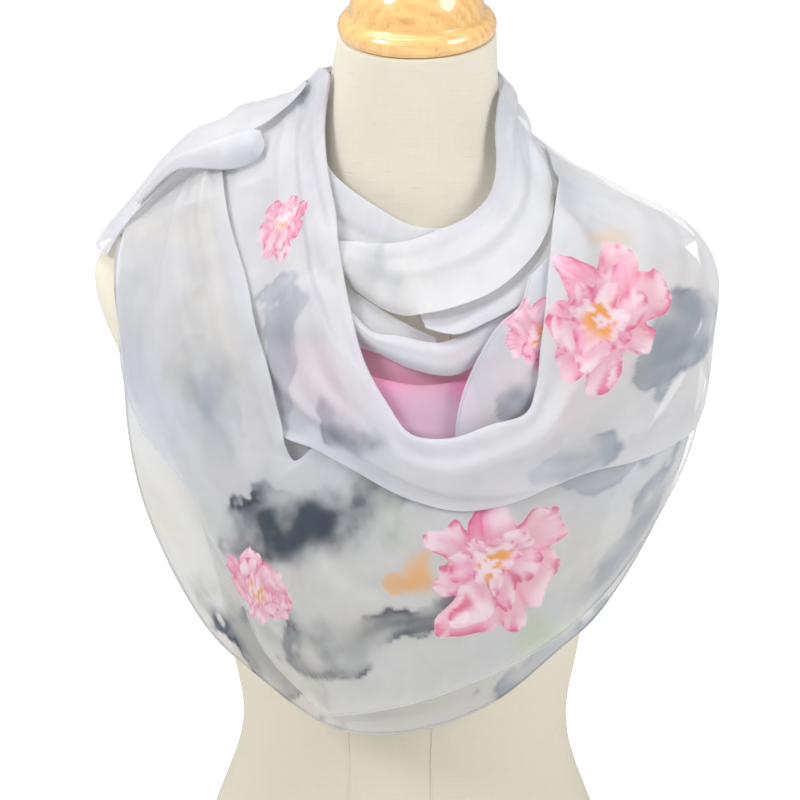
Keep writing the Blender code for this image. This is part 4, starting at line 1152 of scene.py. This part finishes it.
def chiffon(name, blooms):
    """sheer printed chiffon: thin, soft, a little see-through, with a fine crinkled grain"""
    paint = Paint(name)
    ground = paint.stored("ground")
    colour = ground.outputs["Color"]
    if blooms:
        split = paint.tree.nodes.new("ShaderNodeSeparateColor")
        paint.link(paint.stored("rings").outputs["Color"], split.inputs[0])
        for k in range(3):
            mask = Val(paint.tree, split.outputs[k]).step(0.44, 0.60)
            colour = paint.mix(mask, colour, paint.stored("petals_%d" % (k + 1)).outputs["Color"])
    paint.link(colour, paint.shader.inputs["Base Color"])
    u, v = paint.uv()
    crinkle = paint.noise(paint.vector(u, v*0.6, 5.0), 330.0, 1.0, 0.5)
    threads = ((u*5200.0).sin() + (v*5200.0).sin())*0.1
    paint.link(paint.bump(threads + crinkle, 0.16, 0.0004), paint.shader.inputs["Normal"])
    paint.link(ground.outputs["Alpha"], paint.shader.inputs["Alpha"])
    paint.shader.inputs["Roughness"].default_value = 0.62
    paint.shader.inputs["Specular IOR Level"].default_value = 0.25
    paint.shader.inputs["Sheen Weight"].default_value = 0.18
    paint.shader.inputs["Sheen Roughness"].default_value = 0.45
    return paint.mat


def linen(name):
    """cream linen with slubs, pulled over the form"""
    paint = Paint(name)
    x, y, z = paint.position()
    turn = x.atan2(y*-1.0)
    around = turn*0.13
    weft = paint.noise(paint.vector(around*9.0, z*260.0, 0.0), 2.2, 2.0, 0.6)
    warp = paint.noise(paint.vector(around*260.0, z*9.0, 4.0), 2.2, 2.0, 0.6)
    slub = paint.noise(paint.vector(around*22.0, z*420.0, 8.0), 1.0, 1.0)
    cloud = paint.noise(paint.vector(x, y, z), 7.0, 1.0)
    colour = paint.mix((weft + warp)*0.5, lin(222, 215, 199), lin(234, 228, 213))
    colour = paint.mix(slub.step(0.62, 0.80)*0.35, colour, lin(206, 198, 176))
    colour = paint.mix(cloud.step(0.4, 0.7)*0.25, colour, lin(236, 228, 208))
    # painted shade: the cover darkens towards its lower part, where less light reaches it
    colour = paint.mix((z*-1.0).step(-0.50, -0.22)*0.5, colour, lin(198, 190, 170))
    paint.link(colour, paint.shader.inputs["Base Color"])
    threads = ((around*4800.0).sin() + (z*4800.0).sin())*0.25
    paint.link(paint.bump(weft*0.7 + warp*0.7 + threads*0.4, 0.35, 0.0005), paint.shader.inputs["Normal"])
    paint.shader.inputs["Roughness"].default_value = 0.85
    paint.shader.inputs["Specular IOR Level"].default_value = 0.2
    paint.shader.inputs["Sheen Weight"].default_value = 0.1
    return paint.mat


def wood(name, centre, lean):
    """light varnished wood: growth rings cut across by the turning, under a clear gloss coat"""
    paint = Paint(name)
    x, y, z = paint.position()
    x, y, z = x - centre[0], y - centre[1], z - centre[2]
    bend = paint.noise(paint.vector(x, y, z*0.6), 26.0, 2.0)
    rings = ((y*0.93 + z*0.5 + (bend - 0.5)*0.026)*760.0).sin()*0.5 + 0.5
    fine = paint.noise(paint.vector(x*26.0, y*420.0, z*160.0), 1.4, 3.0, 0.6)
    broad = paint.noise(paint.vector(x*7.0, y*70.0, z*40.0), 1.3, 3.0)
    colour = paint.mix(rings.step(0.1, 0.95)*0.27 + (broad - 0.5)*0.6, lin(248, 205, 134), lin(226, 157, 84))
    colour = paint.mix(fine.step(0.52, 0.72)*0.4, colour, lin(196, 118, 56))
    paint.link(colour, paint.shader.inputs["Base Color"])
    paint.link(((fine*0.12) + 0.24).socket, paint.shader.inputs["Roughness"])
    paint.link(paint.bump(fine, 0.06, 0.0003), paint.shader.inputs["Normal"])
    paint.shader.inputs["Coat Weight"].default_value = 0.9
    paint.shader.inputs["Coat Roughness"].default_value = 0.08
    return paint.mat


# ---------------------------------------------------------------------------------------------- the form
def tilt(points, section_height):
    lean = np.clip((section_height - 0.615)/(FORM_HEIGHT - 0.615), 0, 1)
    points = points.copy()
    points[:, 2] += math.tan(math.radians(NECK_TILT))*(points[:, 1] - FORM[-1].centre)*lean
    return points


def form_ring(h, turns):
    height = np.array([s.height for s in FORM])
    stack = np.stack([ring(s, turns) for s in FORM], 0)
    t = np.interp(h, height, np.arange(len(height)))
    p = through(stack.reshape(len(FORM), -1), np.array([t])).reshape(len(turns), 3)
    p[:, 2] = h
    return tilt(p, h)


def build_form():
    sides = 144
    turns = np.radians(np.arange(sides)*360/sides)
    levels = np.concatenate([np.arange(0.0015, 0.60, 0.008), np.arange(0.60, FORM_HEIGHT - 0.0012, 0.005),
                             [FORM_HEIGHT - 0.0010]])
    rings = [form_ring(0.0015, turns)]
    rings[0] = form_ring(0.0, turns)*np.array([0.993, 0.993, 1.0])
    rings += [form_ring(h, turns) for h in levels]
    top = form_ring(FORM_HEIGHT, turns)
    centre = top.mean(0)
    rings.append(centre + (top - centre)*np.array([0.985, 0.985, 1.0]))
    verts = np.concatenate(rings).tolist()
    faces = []
    for i in range(len(rings) - 1):
        for k in range(sides):
            m = (k + 1) % sides
            faces.append((i*sides + k, i*sides + m, (i+1)*sides + m, (i+1)*sides + k))
    faces.append(tuple(range(sides))[::-1])
    faces.append(tuple((len(rings)-1)*sides + k for k in range(sides)))
    mesh = bpy.data.meshes.new("form_cover")
    mesh.from_pydata(verts, [], faces)
    bm = bmesh.new()
    bm.from_mesh(mesh)
    bmesh.ops.recalc_face_normals(bm, faces=bm.faces)
    bm.to_mesh(mesh)
    bm.free()
    mesh.shade_smooth()
    mesh.set_sharp_from_angle(angle=math.radians(50))
    obj = bpy.data.objects.new("form_cover", mesh)
    bpy.context.scene.collection.objects.link(obj)
    return obj


def form_line(turn_of, h0, h1, count=120):
    """a line on the form: turn (degrees) as a function of height"""
    out = []
    for h in np.linspace(h0, h1, count):
        out.append(form_ring(h, np.radians([turn_of(h)]))[0])
    return np.array(out)


def build_cap():
    profile = np.array([(r.radius, r.height) for r in CAP])
    fine = []
    for k in range(len(profile) - 1):
        fine.append(k)
        fine += [k + f for f in (0.25, 0.5, 0.75)]
    fine.append(len(profile) - 1)
    line = through(profile, np.array(fine, float))
    line[:, 0] = np.clip(line[:, 0], 0, None)
    keep = len(profile) - 3
    line = np.array([p for f, p in zip(fine, line) if f <= keep] + [tuple(q) for q in profile[keep + 1:]])
    line[:, 1] = np.clip(line[:, 1], 0, None)
    bm = bmesh.new()
    vs = [bm.verts.new((r, 0.0, h)) for r, h in line]
    for a, b in zip(vs, vs[1:]):
        bm.edges.new((a, b))
    mesh = bpy.data.meshes.new("neck_cap")
    bm.to_mesh(mesh)
    bm.free()
    obj = bpy.data.objects.new("neck_cap", mesh)
    bpy.context.scene.collection.objects.link(obj)
    screw = obj.modifiers.new("turn", "SCREW")
    screw.axis = "Z"
    screw.angle = math.radians(360)
    screw.steps = screw.render_steps = 96
    screw.use_merge_vertices = True
    screw.merge_threshold = 0.00005
    screw.use_normal_calculate = True
    apply_modifiers(obj)
    lean = Matrix.Rotation(math.radians(NECK_TILT), 4, "X")
    place = Matrix.Translation((FORM[-1].side, FORM[-1].centre, FORM_HEIGHT)) @ lean @ Matrix.Translation((0, 0, CAP_GAP))
    obj.data.transform(place)
    obj.data.shade_smooth()
    obj.data.set_sharp_from_angle(angle=math.radians(60))
    return obj


LINEN = linen("linen_cover")
form = build_form()
form.data.materials.append(LINEN)
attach(form, "root")
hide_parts("form_torso")

cap = build_cap()
cap.data.materials.append(wood("cap_wood_varnished", (0.007, -0.012, 0.70), NECK_TILT))
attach(cap, "root")
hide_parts("form_neck_cap")

# seams of the cover
for k, sign in enumerate((-1, 1)):
    seam = tube("form_seam_princess_" + ("left", "right")[k],
                form_line(lambda h: sign*(18.0 + 10.0*max(0.0, (h - 0.30))/0.25), 0.004, 0.54), 0.0006, 6)
    seam.data.materials.append(LINEN)
    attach(seam, "root")
for k, sign in enumerate((-1, 1)):
    seam = tube("form_seam_side_" + ("left", "right")[k], form_line(lambda h: sign*92.0, 0.004, 0.50), 0.0006, 6)
    seam.data.materials.append(LINEN)
    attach(seam, "root")
seam = tube("form_seam_back", form_line(lambda h: 180.0, 0.004, FORM_HEIGHT - 0.004, 200), 0.0006, 6)
seam.data.materials.append(LINEN)
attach(seam, "root")
a = np.linspace(0, 360, 181)
neck_seam = np.array([form_ring(0.601 - 0.030*math.cos(math.radians(t)), np.radians([t]))[0] for t in a])
seam = tube("form_seam_neck", neck_seam, 0.0006, 6)
seam.data.materials.append(LINEN)
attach(seam, "root")

# ---------------------------------------------------------------------------------------------- the scarf
Look = namedtuple("Look", "washes blooms alpha base shift")
LOOKS = {
    # the under layer's ground, lin(206, 206, 209), is painted greyer than the rest of the same cloth: painted shade
    "scarf_under_layer": Look((
        Wash(-34, 402, 0.060, 0.024, 30, 0.9, INK, 6), Wash(46, 404, 0.050, 0.024, -20, 0.6, SLATE, 2),
        Wash(-66, 246, 0.032, 0.020, 80, 0.5, SLATE, 3), Wash(74, 270, 0.050, 0.030, 60, 0.5, SLATE, 4)), (),
        0.66, lin(206, 206, 209), (0.3, 0.1)),
    "scarf_front_layer": Look((
        Wash(-16, 300, 0.070, 0.028, -28, 0.95, INK, 11), Wash(-44, 246, 0.040, 0.022, 60, 0.5, SLATE, 12),
        Wash(-4, 366, 0.060, 0.018, -24, 0.85, INK, 14), Wash(62, 340, 0.050, 0.024, -50, 0.6, SLATE, 13),
        Wash(50, 270, 0.050, 0.020, 12, 0.45, SLATE, 24), Wash(10, 318, 0.022, 0.012, -30, 0.8, OCHRE, 16),
        Wash(38, 380, 0.024, 0.016, 20, 0.7, LEAF, 17), Wash(6, 290, 0.030, 0.018, 60, 0.5, LEAF, 18),
        # a warm grey wash on the front layer's upper left: painted shade of the form's edge seen through the cloth
        Wash(-53, 228, 0.040, 0.014, 86, 0.45, FORM_SHADE_THROUGH, 25)), (
        Bloom(28, 326, 0.050, 1.9, 24), Bloom(-30, 350, 0.026, 0.8, 27)),
        0.40, lin(230, 230, 233), (0.0, 0.0)),
    "scarf_cowl": Look((
        Wash(74, 236, 0.040, 0.022, 40, 0.7, SLATE, 31), Wash(48, 268, 0.040, 0.016, 10, 0.5, SLATE, 32),
        Wash(-30, 196, 0.040, 0.016, 70, 0.45, SLATE, 36), Wash(-6, 236, 0.030, 0.010, 30, 0.6, INK, 33),
        Wash(72, 166, 0.018, 0.006, 30, 0.7, OCHRE, 35)), (
        Bloom(60, 196, 0.038, 0.7, 31), Bloom(-46, 128, 0.022, 1.4, 33)), 0.46, PALE, (0.5, 0.0)),
    "scarf_cowl_bed": Look((Wash(24, 246, 0.030, 0.010, 0, 0.6, DEEP, 40), Wash(-8, 240, 0.022, 0.010, 20, 0.5, LEAF, 43)),
                           (Bloom(-16, 236, 0.030, 0.2, 41),), 0.62, ROSE, (0.2, 0.4)),
    "scarf_cowl_bed_fold": Look((Wash(-12, 222, 0.022, 0.012, 20, 0.6, CORAL, 44),), (), 0.60, ROSE, (0.4, 0.4)),
    "scarf_tucked_end": Look((Wash(42, 236, 0.030, 0.018, 30, 0.7, SLATE, 51),),
                             (Bloom(46, 190, 0.022, 1.9, 51),), 0.5, PALE, (0.1, 0.7)),
    "scarf_shoulder_right": Look((
        Wash(124, 120, 0.060, 0.030, -30, 0.6, SLATE, 62),), (Bloom(138, 170, 0.040, 0.5, 61),), 0.46, PALE, (0.7, 0.2)),
    # the left shoulder's cloth takes the pale ground painted lighter: painted light
    "scarf_shoulder_left": Look((Wash(-150, 140, 0.070, 0.040, 20, 0.5, SLATE, 71), Wash(-363, 146, 0.045, 0.020, 4, 0.42, SLATE, 72)),
                                (Bloom(-170, 90, 0.040, 1.1, 71),), 0.50, PAINTED_LIT_PALE, (0.9, 0.3)),
    # the tuck takes the pale ground painted lighter (painted light), and its slate tint at the rolled tip is painted
    # shade of the roll's hollow end
    "scarf_shoulder_tuck": Look((Wash(-66, 108, 0.016, 0.014, 20, 0.22, SLATE, 76),), (), 0.5, PAINTED_LIT_PALE, (0.9, 0.9)),
    "scarf_neck_right": Look((Wash(14, 150, 0.020, 0.014, 20, 0.5, SLATE, 81),), (), 0.5, PALE, (1.3, 0.2)),
    "scarf_neck_left": Look((Wash(20, 128, 0.025, 0.02, 0, 0.4, SLATE, 83),), (), 0.46, PALE, (1.5, 0.2)),
    "scarf_inner_fold": Look((Wash(0, 150, 0.045, 0.016, 10, 0.45, SLATE, 85),), (), 0.46, PALE, (1.7, 0.2)),
    "scarf_inner_pleat": Look((), (), 0.46, PALE, (1.9, 0.2)),
    "scarf_inner_roll": Look((Wash(56, 140, 0.018, 0.014, 10, 0.7, SLATE, 87),), (), 0.46, PALE, (2.1, 0.2)),
}

FLATS = {
    "scarf_under_layer": ((0.60, 0.14), ["form_torso"]),
    "scarf_front_layer": ((0.72, 0.13), ["scarf_under_layer", "scarf_cowl"]),
    "scarf_cowl": ((0.88, 0.12), ["scarf_front_layer", "form_torso"]),
    "scarf_cowl_bed": ((0.28, 0.07), ["scarf_under_layer"]),
    "scarf_cowl_bed_fold": ((0.18, 0.04), ["scarf_cowl_bed"]),
    "scarf_tucked_end": ((0.12, 0.07), ["scarf_neck_right"]),
    "scarf_shoulder_right": ((0.27, 0.13), ["form_torso"]),
    "scarf_shoulder_left": ((0.75, 0.10), ["form_torso", "scarf_shoulder_right"]),
    "scarf_shoulder_tuck": ((0.10, 0.032), ["scarf_front_layer"]),
    "scarf_neck_left": ((0.26, 0.05), ["form_torso"]),
    "scarf_inner_fold": ((0.12, 0.05), ["scarf_neck_left"]),
    "scarf_inner_pleat": ((0.12, 0.04), ["scarf_cowl_bed"]),
    "scarf_inner_roll": ((0.22, 0.045), ["scarf_cowl_bed"]),
}

# the left shoulder's stretch runs on round the nape as the neck's right one: one cloth
left, right = grids.pop("scarf_shoulder_left"), grids.pop("scarf_neck_right")
across = max(left[0].shape[1], right[0].shape[1])


def resample(grid, count):
    old = np.linspace(0, 1, grid[0].shape[1])
    new = np.linspace(0, 1, count)
    return [np.array([np.interp(new, old, row) for row in f]) for f in grid]


left, right = resample(left, across), resample(right, across)
blend_rows = 24
mean = (left[2][-1] + right[2][0])/2
for f, row, order in ((left[2], -1, -1), (right[2], 0, 1)):
    gap = mean - f[row]
    for k in range(blend_rows):
        f[row + order*k] += gap*(0.5 + 0.5*math.cos(math.pi*k/blend_rows))
joined = [np.concatenate([a[:-1], b], 0) for a, b in zip(left, right)]
joined[2] = np.concatenate([joined[2][:len(left[0]) - 40], blur(joined[2][len(left[0]) - 40:len(left[0]) + 40], 6),
                            joined[2][len(left[0]) + 40:]], 0)

sizes = {}


def finish_piece(name, obj, replaced, look):
    obj.data.materials.append(chiffon("print_" + name, look.blooms))
    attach(obj, "root")
    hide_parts(*replaced)


def edge_line(grid, side, first=0.0, last=1e9, lift=0.0):
    turn, drop, rise, along, over = grid
    rows = (along[:, 0] >= first) & (along[:, 0] <= last)
    col = 0 if side == "in" else -1
    p, n = surface_points(turn[rows, col], drop[rows, col], rise[rows, col] + lift)
    return p, np.stack([turn[rows, col]*U_SCALE, drop[rows, col]], -1)


def rolled_hem(name, line, places, look, material, slot, seed):
    """the machine-rolled hem: a thin tube along an edge, with the cloth's print"""
    hem = tube(name, line, 0.00085, 8, 0.10, seed)
    hem.data.materials.append(material)
    hem.data.uv_layers.new(name="cloth")
    paint_mesh(hem.data, np.repeat(places, 8, 0), look)
    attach(hem, "root")
    return hem


HEMS = {
    "scarf_under_layer": [("out", 0, 1e9)],
    "scarf_front_layer": [("out", 5.0, 1e9)],
    "scarf_tucked_end": [("in", 0, 1e9)],
    "scarf_shoulder_right": [("out", 0, 1e9)],
}
slots = {s["node"]: s["material_slot"] for s in frame["record"]["subparts"]}
pieces = {}
for name, grid in list(grids.items()):
    p, uv = cloth_piece(name, grid)
    obj = sheet_mesh("cloth_" + name[6:], p, uv, LOOKS[name])
    pieces[name] = obj
    finish_piece(name, obj, [name], LOOKS[name])
    hems = []
    for k, (side, first, last) in enumerate(HEMS.get(name, ())):
        hems.append(rolled_hem("hem_%s_%d" % (name[6:], k + 1), *edge_line(grid, side, first, last), LOOKS[name],
                               obj.data.materials[0], slots[name], k))
    flat, rests = FLATS[name]
    sizes[name] = (obj, flat, rests, hems)

# the joined stretch, with a turned-under inner edge all along
turn, drop, rise, along, over = joined
p, n = surface_points(turn, drop, rise)
uv = np.stack([turn*U_SCALE, drop], -1)
inner = fold_under(p, n, "in", EDGES[("scarf_shoulder_left", "in")], along, 1.0)
euv = np.repeat(uv[:, :1], inner.shape[1], 1).copy()
euv[..., 1] -= np.arange(inner.shape[1])*STEP
p, uv = np.concatenate([inner[:, ::-1], p], 1), np.concatenate([euv[:, ::-1], uv], 1)
obj = sheet_mesh("cloth_shoulder_left_to_neck", p, uv, LOOKS["scarf_shoulder_left"])
finish_piece("scarf_shoulder_left", obj, ["scarf_shoulder_left", "scarf_neck_right"], LOOKS["scarf_shoulder_left"])
hem = rolled_hem("hem_shoulder_left_1", *edge_line(left, "out"), LOOKS["scarf_shoulder_left"], obj.data.materials[0],
                 "chiffon_pale", 7)
flat, rests = FLATS["scarf_shoulder_left"]
sizes["scarf_shoulder_left"] = (obj, flat, rests, [hem])

for name, (obj, flat, rests, hems) in sizes.items():
    area = sum(f.area for f in obj.data.polygons)/2
    print("AREA", name, round(area, 4), "flat", flat, "ratio", round(area/(flat[0]*flat[1]), 2), "tris",
          sum(len(f.vertices) - 2 for f in obj.data.polygons))

# ---------------------------------------------------------------------------------------------- floor, light
def seen_or_lit(tree, seen, lit):
    """one strength where the camera sees it, another for the light that it gives"""
    path = tree.nodes.new("ShaderNodeLightPath")
    return Val(tree, path.outputs["Is Camera Ray"])*(seen - lit) + lit


def stage_material(name, colour, seen, lit):
    mat = bpy.data.materials.new(name)
    mat.use_nodes = True
    shader = mat.node_tree.nodes["Principled BSDF"]
    shader.inputs["Base Color"].default_value = (*colour, 1.0)
    shader.inputs["Roughness"].default_value = 0.9
    shader.inputs["Emission Color"].default_value = (1.0, 1.0, 1.0, 1.0)
    mat.node_tree.links.new(seen_or_lit(mat.node_tree, seen, lit).socket, shader.inputs["Emission Strength"])
    return mat


bpy.ops.mesh.primitive_plane_add(size=60.0, location=(0, 0, 0))
floor = bpy.context.object
floor.name = "floor"
floor.data.materials.append(stage_material("floor_pale", (0.84, 0.84, 0.84), 0.60, 0.10))

world = bpy.data.worlds.new("studio")
bpy.context.scene.world = world
world.use_nodes = True
world.node_tree.nodes["Background"].inputs["Color"].default_value = (1.0, 1.0, 1.0, 1.0)
world.node_tree.links.new(seen_or_lit(world.node_tree, 1.0, 0.42).socket,
                          world.node_tree.nodes["Background"].inputs["Strength"])


def area_light(name, location, target, size, power, colour=(1, 1, 1)):
    data = bpy.data.lights.new(name, "AREA")
    data.shape = "DISK"
    data.size = size
    data.energy = power
    data.color = colour
    lamp = bpy.data.objects.new(name, data)
    bpy.context.scene.collection.objects.link(lamp)
    lamp.location = location
    lamp.rotation_euler = (Vector(target) - Vector(location)).to_track_quat("-Z", "Y").to_euler()
    return lamp


area_light("key", (-1.6, -1.4, 2.0), (0, 0, 0.45), 0.9, 32)
area_light("fill", (2.0, -1.0, 1.7), (0, 0, 0.45), 1.2, 31)
area_light("top", (-0.6, 0.1, 2.6), (0, 0, 0.5), 1.2, 22)

bpy.context.scene.view_settings.view_transform = "Standard"
